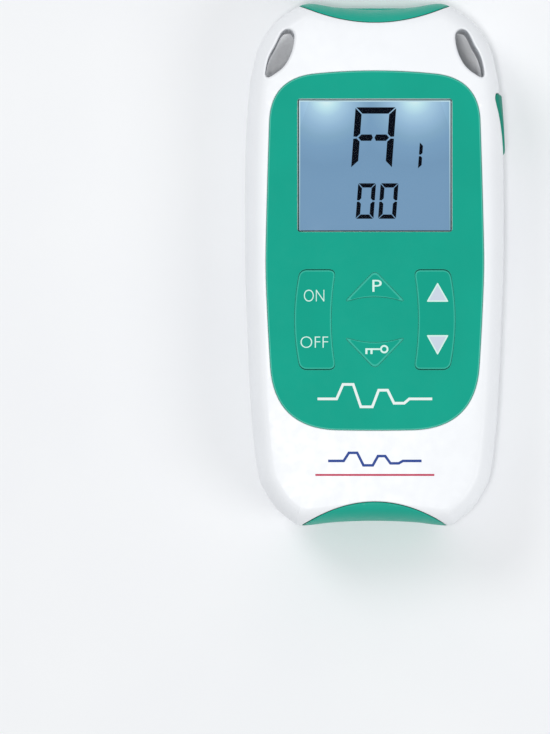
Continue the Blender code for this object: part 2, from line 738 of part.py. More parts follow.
def make_display(clear, glass, frame, diffuser, led, rubber):
    prism("display_window", window_outline(), FASCIA_Z, FASCIA_Z + WINDOW_T, clear)
    half_w = WINDOW_W / 2
    low = WINDOW_Y - WINDOW_H / 2
    high = WINDOW_TOP
    top = FASCIA_Z - GAP
    holder = box("lcd_holder", (-half_w - HOLDER_WALL, low - HOLDER_WALL, MAT_Z),
                 (half_w + HOLDER_WALL, high + HOLDER_WALL, top), frame)
    cut(holder, box("lcd_pocket", (-half_w, low, MAT_Z - CUT), (half_w, high, top + CUT)))
    half_w -= GAP
    low += GAP
    high -= GAP
    guide_z = MAT_Z + LED_SIZE[2] + GAP
    guide_top = guide_z + DIFFUSER_T
    guide_y = low + ZEBRA_H + GAP
    box("lcd_zebra_strip", (-half_w, low, MAT_Z), (half_w, low + ZEBRA_H, guide_top), rubber)
    box("lcd_backlight", (-half_w, guide_y, guide_z), (half_w, high, guide_top), diffuser)
    box("lcd_glass", (-half_w, low, guide_top + GAP), (half_w, high, top), glass)
    half = LED_SIZE[0] / 2
    for side_name, side in SIDES:
        x = side * LED_SPACING / 2
        box(f"backlight_led_{side_name}", (x - half, high - LED_SIZE[1], MAT_Z),
            (x + half, high, MAT_Z + LED_SIZE[2]), led)


# ---------------------------------------------------------------- inside

def make_board(board, chip, winding, can, ferrite):
    top = HALF_L - BOARD_TOP_END
    bottom = BOARD_BOTTOM_END - HALF_L
    prism("main_board", rectangle(-BOARD_HALF_W, bottom, BOARD_HALF_W, top, 3.0), BOARD_Z, BOARD_TOP, board)
    hang = BOARD_Z - GAP
    for side_name, side in SIDES:
        x = side * TRANSFORMER_X
        y = HALF_L - TRANSFORMER_FROM_TOP
        low = hang - TRANSFORMER[2]
        body = box(f"pulse_transformer_{side_name}", (x - TRANSFORMER[0] / 2, y - TRANSFORMER[1] / 2, low),
                   (x + TRANSFORMER[0] / 2, y + TRANSFORMER[1] / 2, hang), winding)
        for end_name, end in (("low", -1), ("high", 1)):
            middle = y + end * TRANSFORMER[1] * 0.3
            groove = box(f"core_step_{side_name}_{end_name}", (x - 3 * CUT, middle - 1.0, low - CUT),
                         (x + 3 * CUT, middle + 1.0, low + 1.5))
            cut(body, groove)
    y = HALF_L - CHIP_FROM_TOP
    box("microcontroller", (-CHIP[0] / 2, y - CHIP[1] / 2, hang - CHIP[2]),
        (CHIP[0] / 2, y + CHIP[1] / 2, hang), chip)
    centre = (-CAPACITOR_X, y - CAPACITOR_L / 2, hang - CAPACITOR_D / 2)
    radius = CAPACITOR_D / 2
    profile = ((radius, 0), (radius, 1.4), (radius - 0.4, 1.9), (radius, 2.4), (radius, CAPACITOR_L))
    turned("storage_capacitor", profile, centre, "Y", can, sides=20)
    centre = (0, HALF_L - COIL_FROM_TOP, hang - COIL_H)
    rim = COIL_D / 2
    waist = rim - 1.1
    profile = ((rim, 0), (rim, 1.0), (waist, 1.0), (waist, COIL_H - 1.0), (rim, COIL_H - 1.0), (rim, COIL_H))
    turned("boost_coil", profile, centre, "Z", ferrite, sides=20)


def make_lead_sockets(material):
    """Barrel with a centre pin, open towards the top end."""
    start = HALF_L - TOP_CAP[1] + CAP_TIP * 0.5 - GAP - SOCKET_L
    for side_name, side in SIDES:
        centre = (side * SOCKET_X, start, SPLIT_Z)
        profile = (
            (SOCKET_D / 2, 0), (SOCKET_D / 2, SOCKET_L), (SOCKET_BORE / 2, SOCKET_L),
            (SOCKET_BORE / 2, SOCKET_FLOOR), (SOCKET_PIN / 2, SOCKET_FLOOR),
            (SOCKET_PIN / 2, SOCKET_L - 1.5))
        turned(f"lead_socket_{side_name}", profile, centre, "Y", material, sides=20)


def make_boost(button, switch):
    middle = HALF_L - BOOST_FROM_TOP
    base = side_x(middle + BOOST_L / 2 + BOOST_FLANGE_W) - WALL - GAP
    origin = (base, middle, SPLIT_Z)
    cap = whole_case("boost_button", button)
    cap.location = (BOOST_PROUD * MM, 0, 0)
    keep_inside(cap, side_prism("boost_zone", boost_outline(), base - BOOST_JOIN, HALF_W + CUT))
    under_roof = [(y, min(z, ROOF_Z - GAP)) for y, z in boost_outline(BOOST_FLANGE_W)]
    flange = side_prism("boost_flange", under_roof, base - BOOST_FLANGE_T, base)
    join(cap, flange)
    anchor = bpy.data.objects.new("boost_slide", None)
    anchor.location = Vector(origin) * MM
    bpy.context.scene.collection.objects.link(anchor)
    cap.parent = anchor
    cap.matrix_parent_inverse.translation = -anchor.location
    tip = base - BOOST_FLANGE_T - BOOST_TRAVEL - GAP
    front = tip - SWITCH_PIN[0]
    hang = BOARD_Z - GAP
    body = box("boost_switch", (front - SWITCH_BODY[0], middle - SWITCH_BODY[1] / 2, hang - SWITCH_BODY[2]),
               (front, middle + SWITCH_BODY[1] / 2, hang), switch)
    pin_z = hang - SWITCH_BODY[2] / 2
    pin = box("switch_pin", (front - 1.0, middle - SWITCH_PIN[1] / 2, pin_z - SWITCH_PIN[2] / 2),
              (tip, middle + SWITCH_PIN[1] / 2, pin_z + SWITCH_PIN[2] / 2))
    join(body, pin)


def coil_spring(name, x, y0, y1, z, radius_start, radius_end, material):
    """Conical wire spring along Y as one closed tube."""
    steps = SPRING_TURNS * 12
    sides = 6
    wire = SPRING_WIRE / 2
    rings = []
    for i in range(steps + 1):
        share = i / steps
        turn = 2 * math.pi * SPRING_TURNS * share
        radius = radius_start + (radius_end - radius_start) * share
        y = y0 + wire + (y1 - y0 - 2 * wire) * share
        out = Vector((math.cos(turn), 0, math.sin(turn)))
        centre = Vector((x, y, z)) + out * radius
        ring = []
        for j in range(sides):
            angle = 2 * math.pi * j / sides
            ring.append(centre + out * wire * math.cos(angle) + Vector((0, wire * math.sin(angle), 0)))
        rings.append(ring)
    return loft(name, rings, material)


def contact_sheet(name, x, y0, y1, z, steel):
    y0, y1 = sorted((y0, y1))
    box(name, (x - PLATE_W / 2, y0, z - PLATE_H / 2), (x + PLATE_W / 2, y1, z + PLATE_H / 2), steel)


def make_power(wrap, steel):
    """Two cells side by side the opposite way round, each between a contact plate and a spring."""
    z = CELL_Z + BATTERY_D / 2
    radius = BATTERY_D / 2
    ends = (BAY_BOTTOM + GAP, BAY_TOP - GAP)
    for side_name, side in SIDES:
        x = side * (BATTERY_D + CELL_SPACE) / 2
        plus = -side                    # the left cell's nub points to the top end
        plus_end = max(ends) if plus > 0 else min(ends)
        minus_end = min(ends) if plus > 0 else max(ends)
        contact_sheet(f"contact_plate_{side_name}", x, plus_end, plus_end - plus * PLATE_T, z, steel)
        contact_sheet(f"spring_plate_{side_name}", x, minus_end, minus_end + plus * PLATE_T, z, steel)
        start = minus_end + plus * (PLATE_T + GAP)
        low, high = sorted((start, start + plus * (SPRING_L - GAP)))
        coils = (SPRING_WIDE, SPRING_NARROW) if plus > 0 else (SPRING_NARROW, SPRING_WIDE)
        coil_spring(f"battery_spring_{side_name}", x, low, high, z, *coils, steel)
        nub = plus_end - plus * (PLATE_T + GAP)
        profile = (
            (NUB_D / 2, 0), (NUB_D / 2, NUB_L), (radius - 0.7, NUB_L), (radius, NUB_L + 0.7),
            (radius, NUB_L + CELL_L - 0.5), (radius - 0.5, NUB_L + CELL_L))
        profile = [(r, -plus * h) for r, h in profile]
        turned(f"battery_{side_name}", profile, (x, nub, z), "Y", wrap, sides=28)


def make_screws(steel):
    for name, x, y in screw_places():
        length = ROOF_Z - 2.0 - HEAD_DEPTH
        profile = ((HEAD_D / 2 - 0.5, 0), (HEAD_D / 2, 0.5), (HEAD_D / 2, HEAD_T), (SCREW_D / 2, HEAD_T),
                   (SCREW_D / 2, length))
        screw = turned(f"case_screw_{name}", profile, (x, y, HEAD_DEPTH), "Z", steel, sides=16)
        for way, half_x, half_y in (("long", 1.4, 0.35), ("cross", 0.35, 1.4)):
            drive = box(f"drive_{name}_{way}", (x - half_x, y - half_y, HEAD_DEPTH - 1.0),
                        (x + half_x, y + half_y, HEAD_DEPTH + 0.9))
            cut(screw, drive)


def build():
    clear_scene()
    white = make_material("white_plastic", (0.88, 0.89, 0.92), 0.38)
    green = make_material("green_fascia", (0.014, 0.370, 0.258), 0.55)
    green_cap = make_material("green_cap", (0.018, 0.400, 0.285), 0.42)
    green_rubber = make_material("green_rubber", (0.012, 0.365, 0.255), 0.62)
    clear = make_material("clear_window", (0.80, 0.90, 0.95), 0.06, alpha=0.25)
    glass = make_material("lcd_glass", (0.18, 0.34, 0.47), 0.12)
    frame = make_material("black_plastic", (0.02, 0.02, 0.025), 0.5)
    diffuser = make_material("diffuser", (0.75, 0.88, 0.95), 0.5)
    led = make_material("led_package", (0.85, 0.85, 0.70), 0.4)
    rubber = make_material("conductive_rubber", (0.05, 0.05, 0.055), 0.8)
    board = make_material("circuit_board", (0.01, 0.12, 0.05), 0.45)
    chip = make_material("chip_epoxy", (0.02, 0.02, 0.02), 0.45)
    winding = make_material("transformer", (0.30, 0.24, 0.06), 0.5)
    can = make_material("capacitor_sleeve", (0.03, 0.04, 0.10), 0.35)
    ferrite = make_material("ferrite", (0.06, 0.06, 0.065), 0.6)
    steel = make_material("plated_steel", (0.62, 0.62, 0.60), 0.28, 1.0)
    wrap = make_material("cell_wrap", (0.60, 0.62, 0.66), 0.32)

    make_front_shell(white)
    make_rear_shell(white)
    make_end_cap("top_end_cap", TOP_CAP, 1, -CUT, green_cap)
    make_end_cap("bottom_end_cap", BOTTOM_CAP, -1, DOOR_Z + DOOR_T + GAP, green_cap)
    make_fascia(green)
    make_keys(green_rubber, rubber)
    make_keypad_mat(rubber)
    make_display(clear, glass, frame, diffuser, led, rubber)
    make_board(board, chip, winding, can, ferrite)
    make_lead_sockets(frame)
    make_boost(green_rubber, frame)
    make_power(wrap, steel)
    make_screws(steel)
    make_door(white)


build()
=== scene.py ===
"""Looks of the two-channel TENS unit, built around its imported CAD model.

The unit lies on its back: +Z is the face, +Y the lead-socket end, +X the boost-button side.
Sizes are in millimetres and become metres when a piece is made.
"""
import math

import bmesh
import bpy
import numpy as np
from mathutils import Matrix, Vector
from mathutils.geometry import delaunay_2d_cdt


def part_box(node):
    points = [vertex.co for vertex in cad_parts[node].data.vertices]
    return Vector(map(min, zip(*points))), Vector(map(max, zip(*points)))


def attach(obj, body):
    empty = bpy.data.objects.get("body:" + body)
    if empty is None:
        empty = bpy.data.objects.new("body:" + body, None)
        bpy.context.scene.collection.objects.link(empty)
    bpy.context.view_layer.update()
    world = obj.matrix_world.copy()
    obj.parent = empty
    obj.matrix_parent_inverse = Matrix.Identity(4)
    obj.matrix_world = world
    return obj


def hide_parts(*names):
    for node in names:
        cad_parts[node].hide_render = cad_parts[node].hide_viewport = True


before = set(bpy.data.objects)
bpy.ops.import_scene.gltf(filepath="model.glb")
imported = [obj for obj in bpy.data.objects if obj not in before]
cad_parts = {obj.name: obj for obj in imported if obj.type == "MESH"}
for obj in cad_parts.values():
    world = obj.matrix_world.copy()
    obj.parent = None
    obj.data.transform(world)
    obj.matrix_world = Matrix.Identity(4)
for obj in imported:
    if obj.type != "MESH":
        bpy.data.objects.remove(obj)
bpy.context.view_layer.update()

MM = 0.001


def cad_box(node):
    low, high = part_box(node)
    return low / MM, high / MM


# ---------------------------------------------------------------- sizes

HALF_L = 62.0
HALF_W = 30.6
GAP = 0.3                # between neighbouring CAD pieces
CUT = 5.0                # how far a cutter runs past what it cuts
WALL = 2.0

FASCIA_Z = cad_box("fascia_panel")[0].z
FACE_Z = cad_box("fascia_panel")[1].z
SPLIT_Z = FACE_Z / 2
RIM_TOP = FASCIA_Z - GAP
ROOF_Z = RIM_TOP - 1.2

# Face crown: how far the face drops at the sides and at the ends
CROWN_ACROSS = 0.7
CROWN_ALONG = 0.4

# Case outline, right half, anticlockwise: (distance in from the side, distance in from the end)
BOTTOM_CORNER = ((21.6, 1.2), (13.3, 0.4), (10.4, 1.9), (7.2, 4.7), (4.8, 8.4), (3.2, 12.2))
LOWER_SIDE = ((2.1, 20.0), (1.3, 30.0), (0.55, 47.0))
UPPER_SIDE = ((0.0, 60.0), (0.1, 36.0), (0.9, 22.0))
TOP_CORNER = ((1.8, 16.0), (3.4, 10.2), (6.7, 5.2), (11.0, 1.8), (15.1, 0.15), (22.0, 1.1))
TOP_DISH = 1.6
BOTTOM_DISH = 1.5
OUTLINE_STEPS = 9

# Edge rolls are quarter ellipses: (inset at the flat, height)
ROLL_START = 0.3         # share of the half depth where each roll starts
ROLL_UP = SPLIT_Z * (1 - ROLL_START)
FACE_ROLL = 4.2
BACK_ROLL = 5.0
ROLL_STEPS = 10
FACE_ROLL_Z = SPLIT_Z + SPLIT_Z * ROLL_START
BACK_ROLL_Z = SPLIT_Z - SPLIT_Z * ROLL_START
SEAM = 0.16              # visible gap between the shells
SEAM_LIP = 0.3

# End caps: (half width at the tips, depth in the middle)
TOP_CAP = (18.3, 4.9)
BOTTOM_CAP = (17.0, 6.1)
CAP_TIP = 0.5
CAP_EDGE = 0.35

# Lanyard slots, right side
SLOT_MIDLINE = ((10.2, 7.6), (9.1, 11.0), (7.4, 14.2), (5.6, 17.0))
SLOT_HALF_WIDTH = (1.5, 2.1, 2.1, 0.9)
SLOT_BLUNT = 0.7         # share of a half circle in the blunt end
SLOT_EDGE = 0.7

# Fascia
FASCIA_HALF_W = 25.45
FASCIA_TOP_HALF_W = 24.2
FASCIA_LOW_HALF_W = 23.3
FASCIA_TOP = 17.15
FASCIA_BOTTOM = 23.3
FASCIA_TOP_CUT = 9.4
FASCIA_BOTTOM_CUT = 14.0
RIM_WIDTH = 1.8
FASCIA_EDGE = 0.3
FASCIA_SLIT = 0.06

# Keys
KEY_FIELD_H = 23.3
ROCKER_W = 8.4
ROCKER_OUT = 17.6
ROCKER_BULGE = 1.3
ROCKER_HOLLOW = 1.05
ROCKER_CUT = 1.7
ARROW_HALF_W = 7.3
ARROW_H = 7.6
ARROW_SAG = 1.3
ARROW_CUT = 1.5
KEY_EDGE = 0.34
ARROW_MIDDLE = 4.4       # from an arrow key's tip to its middle
ARROW_MIDDLE_R = 2.4     # from there to its edges
KEY_FOOT = 0.8
KEY_FOOT_T = 1.2
KEY_SLIT = 0.045
ROCK_ROOM = 1.014        # stretch of a rocker's opening, so that its ends clear the fascia as it rocks

# Battery bay
BAY_HALF_W = 14.85
BAY_WALL = 1.2
DOOR_EDGE = 0.35
GROOVES = 5
GROOVE_STEP = 2.2

# Boost button in the right side
BOOST_LOW, BOOST_HIGH = cad_box("boost_button")
BOOST_PROUD = 0.45
BOOST_HALF_L = 7.2
BOOST_FOOT = 7.5
BOOST_CUT = 2.6

# Display
WINDOW_LOW, WINDOW_HIGH = cad_box("display_window")
GLASS_LOW, GLASS_HIGH = cad_box("lcd_glass")
KEYS_TOP = WINDOW_LOW.y - 9.1
KEYS_BOTTOM = KEYS_TOP - KEY_FIELD_H
KEYS_Y = (KEYS_TOP + KEYS_BOTTOM) / 2

SIDES = ("left", "right")
FOLD_PASSES = 60
FACE_GRID = 2.6          # spacing of the points that let a level face take the crown
SHARP_FROM = math.radians(32)
FLAT_WEIGHT = 60         # how strongly large faces pull the shading flat
SAME_POINT = 0.001       # points nearer than this are one
CUT_WIDTH = 0.02         # points that a cut leaves nearer than this are merged
SLIVER = 1e-6            # twice the area, in mm2, of the largest face that is dropped as a sliver


# ---------------------------------------------------------------- outlines

def closed_spline(points, steps):
    """Smooth closed curve through the points, as Catmull-Rom segments."""
    count = len(points)
    curve = []
    for i in range(count):
        around = [points[(i + j) % count] for j in (-1, 0, 1, 2)]
        for step in range(steps):
            t = step / steps
            curve.append(tuple(
                0.5 * (2 * b + (c - a) * t + (2 * a - 5 * b + 4 * c - d) * t * t
                       + (3 * b - a - 3 * c + d) * t ** 3)
                for a, b, c, d in zip(*around)))
    return curve


def case_outline():
    """Closed outline of the case, anticlockwise from the middle of the bottom end."""
    half = [(0.0, BOTTOM_DISH - HALF_L)]
    half += [(HALF_W - side, end - HALF_L) for side, end in BOTTOM_CORNER + LOWER_SIDE]
    half += [(HALF_W - side, HALF_L - end) for side, end in UPPER_SIDE + TOP_CORNER]
    half.append((0.0, HALF_L - TOP_DISH))
    return closed_spline(half + [(-x, y) for x, y in reversed(half[1:-1])], OUTLINE_STEPS)


def inset(outline, distance, reach=6):
    """Move an outline inwards, with its directions averaged over a reach of neighbours."""
    count = len(outline)
    moved = []
    for i, (x, y) in enumerate(outline):
        ahead = outline[(i + reach) % count]
        behind = outline[i - reach]
        run = (ahead[0] - behind[0], ahead[1] - behind[1])
        size = math.hypot(*run)
        moved.append((x - run[1] / size * distance, y + run[0] / size * distance))
    return moved


def grow(outline, distance):
    """Move an anticlockwise outline outwards along its directions; folds at tight corners close up."""
    count = len(outline)
    moved = []
    for i, (x, y) in enumerate(outline):
        ahead = Vector(outline[(i + 1) % count]) - Vector((x, y))
        behind = Vector((x, y)) - Vector(outline[i - 1])
        side_a = Vector((ahead.y, -ahead.x)).normalized()
        side_b = Vector((behind.y, -behind.x)).normalized()
        middle = (side_a + side_b).normalized()
        step = distance / max(middle.dot(side_a), 0.6)
        moved.append((x + middle.x * step, y + middle.y * step))
    for _ in range(FOLD_PASSES):
        if not close_folds(outline, moved):
            break
    return moved


def shrink(outline, centre, share):
    """Draw an outline in towards a centre; this keeps sharp tips clean where an offset would fold."""
    return [tuple(c + (p - c) * share for p, c in zip(point, centre)) for point in outline]


def close_folds(outline, moved):
    """Bring the ends of every segment that an offset turned round together, and say if there were any."""
    count = len(outline)
    folded = False
    for i in range(count):
        j = (i + 1) % count
        before = (outline[j][0] - outline[i][0], outline[j][1] - outline[i][1])
        after = (moved[j][0] - moved[i][0], moved[j][1] - moved[i][1])
        if before[0] * after[0] + before[1] * after[1] < -1e-9:
            middle = ((moved[i][0] + moved[j][0]) / 2, (moved[i][1] + moved[j][1]) / 2)
            moved[i] = middle
            moved[j] = middle
            folded = True
    return folded


def arc_edge(start, end, sag, low, high, steps):
    """Points of a shallow arc between two corners, from share low to share high of its length."""
    run = (end[0] - start[0], end[1] - start[1])
    size = math.hypot(*run)
    side = (run[1] / size, -run[0] / size)
    points = []
    for i in range(steps + 1):
        t = low + (high - low) * i / steps
        bow = 4 * sag * t * (1 - t)
        points.append((start[0] + run[0] * t + side[0] * bow, start[1] + run[1] * t + side[1] * bow))
    return points


def soft_polygon(corners, sags, cuts, edge_steps=12, corner_steps=10):
    """Anticlockwise outline with bowed edges and rounded corners; a positive sag bows outwards."""
    count = len(corners)
    edges = []
    for i in range(count):
        start = corners[i]
        end = corners[(i + 1) % count]
        size = math.dist(start, end)
        low = cuts[i] / size
        high = 1 - cuts[(i + 1) % count] / size
        edges.append(arc_edge(start, end, sags[i], low, high, edge_steps))
    outline = []
    for i, edge in enumerate(edges):
        following = edges[(i + 1) % count]
        outline += edge
        leave = Vector(edge[-1])
        arrive = Vector(following[0])
        corner = Vector(corners[(i + 1) % count])
        for step in range(1, corner_steps):
            t = step / corner_steps
            point = leave * (1 - t) ** 2 + corner * 2 * t * (1 - t) + arrive * t * t
            outline.append((point.x, point.y))
    return outline


def mirrored(outline):
    return [(-x, y) for x, y in reversed(outline)]


def corners_of(x0, y0, x1, y1):
    return [(x0, y0), (x1, y0), (x1, y1), (x0, y1)]


def rectangle(x0, y0, x1, y1, corner):
    return soft_polygon(corners_of(x0, y0, x1, y1), (0,) * 4, (corner,) * 4, 4, 6)


def circle(x, y, radius, steps=40):
    turns = [2 * math.pi * i / steps for i in range(steps)]
    return [(x + radius * math.cos(turn), y + radius * math.sin(turn)) for turn in turns]


def capsule(half_length, y, radius, steps=10):
    """Bar along X with round ends."""
    turns = [math.pi * i / steps - math.pi / 2 for i in range(steps + 1)]
    right = [(half_length + radius * math.cos(turn), y + radius * math.sin(turn)) for turn in turns]
    return right + [(-x, 2 * y - y_end) for x, y_end in right]


def ribbon(points, width):
    """Outline of a band of one width along a line, mitred at its bends."""
    left = []
    right = []
    for i, point in enumerate(points):
        here = Vector(point)
        ahead = (Vector(points[min(i + 1, len(points) - 1)]) - here)
        behind = (here - Vector(points[max(i - 1, 0)]))
        ahead = (ahead if ahead.length else behind).normalized()
        behind = (behind if behind.length else ahead).normalized()
        middle = (ahead + behind).normalized()
        side = Vector((middle.y, -middle.x))
        side_ahead = Vector((ahead.y, -ahead.x))
        half = width / 2 / max(side.dot(side_ahead), 0.35)
        left.append(tuple(here - side * half))
        right.append(tuple(here + side * half))
    return right + left[::-1]


def slot_outline():
    """Leaf-shaped lanyard slot in the right top corner."""
    middle = [(HALF_W - side, HALF_L - end) for side, end in SLOT_MIDLINE]
    left = []
    right = []
    for i, (x, y) in enumerate(middle):
        ahead = middle[min(i + 1, len(middle) - 1)]
        behind = middle[max(i - 1, 0)]
        run = Vector((ahead[0] - behind[0], ahead[1] - behind[1])).normalized()
        half = SLOT_HALF_WIDTH[i]
        left.append((x + run.y * half, y - run.x * half))
        right.append((x - run.y * half, y + run.x * half))
    first = Vector(middle[0]) - Vector(middle[1])
    last = Vector(middle[-1]) - Vector(middle[-2])
    top = Vector(middle[0]) + first.normalized() * SLOT_HALF_WIDTH[0] * SLOT_BLUNT
    tip = Vector(middle[-1]) + last.normalized() * SLOT_HALF_WIDTH[-1]
    closed = closed_spline([tuple(top)] + right + [tuple(tip)] + left[::-1], 6)
    area = sum(a[0] * b[1] - b[0] * a[1] for a, b in zip(closed, closed[1:] + closed[:1]))
    return closed if area > 0 else closed[::-1]


def fascia_outline():
    top = HALF_L - FASCIA_TOP
    bottom = FASCIA_BOTTOM - HALF_L
    corners = (
        (-FASCIA_LOW_HALF_W, bottom + 0.6),
        (FASCIA_LOW_HALF_W, bottom + 0.6),
        (FASCIA_HALF_W, 0.0),
        (FASCIA_TOP_HALF_W, top - 1.6),
        (-FASCIA_TOP_HALF_W, top - 1.6),
        (-FASCIA_HALF_W, 0.0),
    )
    sags = (0.65, 0.25, 0.1, 2.1, 0.1, 0.25)
    cuts = (FASCIA_BOTTOM_CUT, FASCIA_BOTTOM_CUT, 4.0, FASCIA_TOP_CUT, FASCIA_TOP_CUT, 4.0)
    return soft_polygon(corners, sags, cuts, 14, 16)


def rocker_outline():
    """Right rocker key: it bulges outwards and is hollowed towards the middle of the fascia."""
    corners = corners_of(ROCKER_OUT - ROCKER_W, KEYS_BOTTOM, ROCKER_OUT, KEYS_TOP)
    sags = (0.0, ROCKER_BULGE, 0.0, -ROCKER_HOLLOW)
    return soft_polygon(corners, sags, (ROCKER_CUT,) * 4)


def arrow_outline(tip, way):
    """Arrow key with its tip at the given height, pointing up (way 1) or down (way -1)."""
    base = tip - way * ARROW_H
    corners = [(-ARROW_HALF_W, way * base), (ARROW_HALF_W, way * base), (0.0, way * tip)]
    outline = soft_polygon(corners, (-ARROW_SAG, 0.0, 0.0), (ARROW_CUT,) * 3)
    if way < 0:
        outline = [(x, -y) for x, y in reversed(outline)]
    return outline


def cap_outline(size, end, grown):
    """Lens-shaped zone that an end cap fills; end is 1 at the top and -1 at the bottom."""
    half, depth = size
    bow = depth - CAP_TIP
    steps = 36
    points = []
    for i in range(steps + 1):
        share = 1 - 2 * i / steps
        y = HALF_L - CAP_TIP - bow * (1 - share * share) - grown
        points.append((share * (half + grown), end * y))
    points += [(-half - grown, end * (HALF_L + CUT)), (half + grown, end * (HALF_L + CUT))]
    return points[::-1] if end > 0 else points


OUTLINE = case_outline()
RIGHT_SIDE = [point for point in OUTLINE if point[0] > 0]


# ---------------------------------------------------------------- the case's skin

def edge_distance(x, y):
    """Distance in from the case outline; negative outside it."""
    a = np.array(OUTLINE)
    run = np.roll(a, -1, axis=0) - a
    to_point = np.array((x, y)) - a
    share = np.clip((to_point * run).sum(1) / (run * run).sum(1), 0, 1)
    away = to_point - run * share[:, None]
    distance = float(np.sqrt((away * away).sum(1)).min())
    return distance if inside([(x, y)], [OUTLINE])[0] else -distance


def inside(points, loops):
    """Which points lie inside the loops, counting a loop within a loop as a hole."""
    x, y = np.array(points, float).T
    within = np.zeros(len(x), bool)
    for loop in loops:
        for (x0, y0), (x1, y1) in zip(loop, loop[1:] + loop[:1]):
            if y0 != y1:
                crosses = (y0 > y) != (y1 > y)
                within ^= crosses & (x < (x1 - x0) * (y - y0) / (y1 - y0) + x0)
    return within


def rise(distance, roll):
    """Height of an edge roll at a distance in from the outline."""
    share = 1 - min(max(distance / roll, 0.0), 1.0)
    return ROLL_UP * math.sqrt(1 - share * share)


def front_skin(x, y):
    return FACE_ROLL_Z + rise(edge_distance(x, y), FACE_ROLL)


def back_skin(x, y):
    return BACK_ROLL_Z - rise(edge_distance(x, y), BACK_ROLL)


def side_skin(y, z):
    """Half width of the case at a place on its right side."""
    half = RIGHT_SIDE[0][0]
    for low, high in zip(RIGHT_SIDE, RIGHT_SIDE[1:]):
        if low[1] <= y <= high[1]:
            half = low[0] + (high[0] - low[0]) * (y - low[1]) / (high[1] - low[1])
            break
    up = max(z - FACE_ROLL_Z, BACK_ROLL_Z - z, 0.0) / ROLL_UP
    roll = FACE_ROLL if z > SPLIT_Z else BACK_ROLL
    return half - roll * (1 - math.sqrt(1 - min(up, 1.0) ** 2))


# ---------------------------------------------------------------- mesh building

class Surface:
    """Points and faces in millimetres, gathered loop by loop."""

    def __init__(self):
        self.points = []
        self.faces = []
        self.shades = []

    def loop(self, points):
        first = len(self.points)
        self.points += [tuple(point) for point in points]
        return list(range(first, len(self.points)))

    def add_face(self, face, shade=0):
        self.faces.append(tuple(face))
        self.shades.append(shade)

    def band(self, low, high, shade=0):
        for i in range(len(low)):
            j = (i + 1) % len(low)
            self.add_face((low[i], low[j], high[j], high[i]), shade)

    def stack(self, rings, edge_from=None):
        """Bands through a stack of rings; from the given band on they take the second material, a painted
        highlight.
        """
        loops = [self.loop(ring) for ring in rings]
        for i, (low, high) in enumerate(zip(loops, loops[1:])):
            self.band(low, high, 1 if edge_from is not None and i >= edge_from else 0)
        return loops[0], loops[-1]

    def cap(self, rim, holes=(), spacing=0.0):
        """Fill a level rim but not its holes, with a grid of inner points if a spacing is given."""
        loops = [rim, *holes]
        flat = [[self.points[i][:2] for i in loop] for loop in loops]
        corners = [i for loop in loops for i in loop]
        places = [Vector(point) for loop in flat for point in loop]
        edges = []
        for loop in loops:
            first = len(edges)
            edges += [(first + i, first + (i + 1) % len(loop)) for i in range(len(loop))]
        z = self.points[rim[0]][2]
        if spacing:
            inner = grid_inside(flat, spacing)
            corners += self.loop([(x, y, z) for x, y in inner])
            places += [Vector(point) for point in inner]
        found = delaunay_2d_cdt(places, edges, [], 0, SAME_POINT / 2)
        named = []
        for place_2d, originals in zip(found[0], found[3]):
            named.append(corners[originals[0]] if originals else self.loop([(*place_2d, z)])[0])
        corners_2d = [[found[0][i] for i in face] for face in found[2]]
        middles = [tuple((a + b + c) / 3) for a, b, c in corners_2d]
        kept = inside(middles, flat)
        for face, (a, b, c), keep in zip(found[2], corners_2d, kept):
            if keep and abs((b - a).cross(c - a)) > SLIVER:
                self.add_face([named[i] for i in face])

    def close(self, walls, spacing=0.0):
        """Fill both ends between an outer wall and the walls of its holes; the top can take a grid."""
        for end, grid in ((0, 0.0), (1, spacing)):
            self.cap(walls[0][end], [wall[end] for wall in walls[1:]], grid)

    def flat(self, loops, low, high):
        """Plate with square edges, from an outline and its holes."""
        self.close([self.stack([lift(loop, low), lift(loop, high)]) for loop in loops])

    def build(self, name):
        shape = bmesh.new()
        verts = [shape.verts.new(Vector(point) * MM) for point in self.points]
        for face, shade in zip(self.faces, self.shades):
            shape.faces.new([verts[i] for i in face]).material_index = shade
        bmesh.ops.remove_doubles(shape, verts=shape.verts, dist=SAME_POINT * MM)
        bmesh.ops.recalc_face_normals(shape, faces=shape.faces)
        mesh = bpy.data.meshes.new(name)
        shape.to_mesh(mesh)
        shape.free()
        return new_object(name, mesh)


def solid(name, rings, edge_from=None, spacing=0.0, level=True):
    """Closed solid through a stack of rings; its ends are filled as one face each if they aren't level."""
    surface = Surface()
    ends = surface.stack(rings, edge_from)
    if level:
        surface.close([ends], spacing)
    else:
        for end in ends:
            surface.add_face(end)
    return surface.build(name)


def grid_inside(loops, spacing):
    """Staggered grid points inside the loops and clear of their edges."""
    rim = np.array([point for loop in loops for point in loop])
    low = rim.min(0)
    high = rim.max(0)
    rows = int((high[1] - low[1]) / (spacing * 0.87)) + 1
    columns = int((high[0] - low[0]) / spacing) + 2
    points = []
    for row in range(rows):
        y = low[1] + (row + 0.5) * spacing * 0.87
        shift = 0.25 if row % 2 else 0.75
        points += [(low[0] + (column + shift - 0.5) * spacing, y) for column in range(columns)]
    kept = inside(points, loops)
    points = [point for point, keep in zip(points, kept) if keep]
    clear = []
    for point in points:
        nearest = np.abs(rim - np.array(point)).max(1).min()
        if nearest > spacing * 0.45:
            clear.append(point)
    return clear


def quarter_turn(steps):
    """Shares of a radius (in from the wall, up from its top) round a quarter turn."""
    turns = [math.pi / 2 * step / steps for step in range(steps + 1)]
    return [(1 - math.cos(turn), math.sin(turn)) for turn in turns]


def new_object(name, data):
    thing = bpy.data.objects.new(name, data)
    bpy.context.scene.collection.objects.link(thing)
    return thing


def lift(outline, z):
    return [(x, y, z) for x, y in outline]


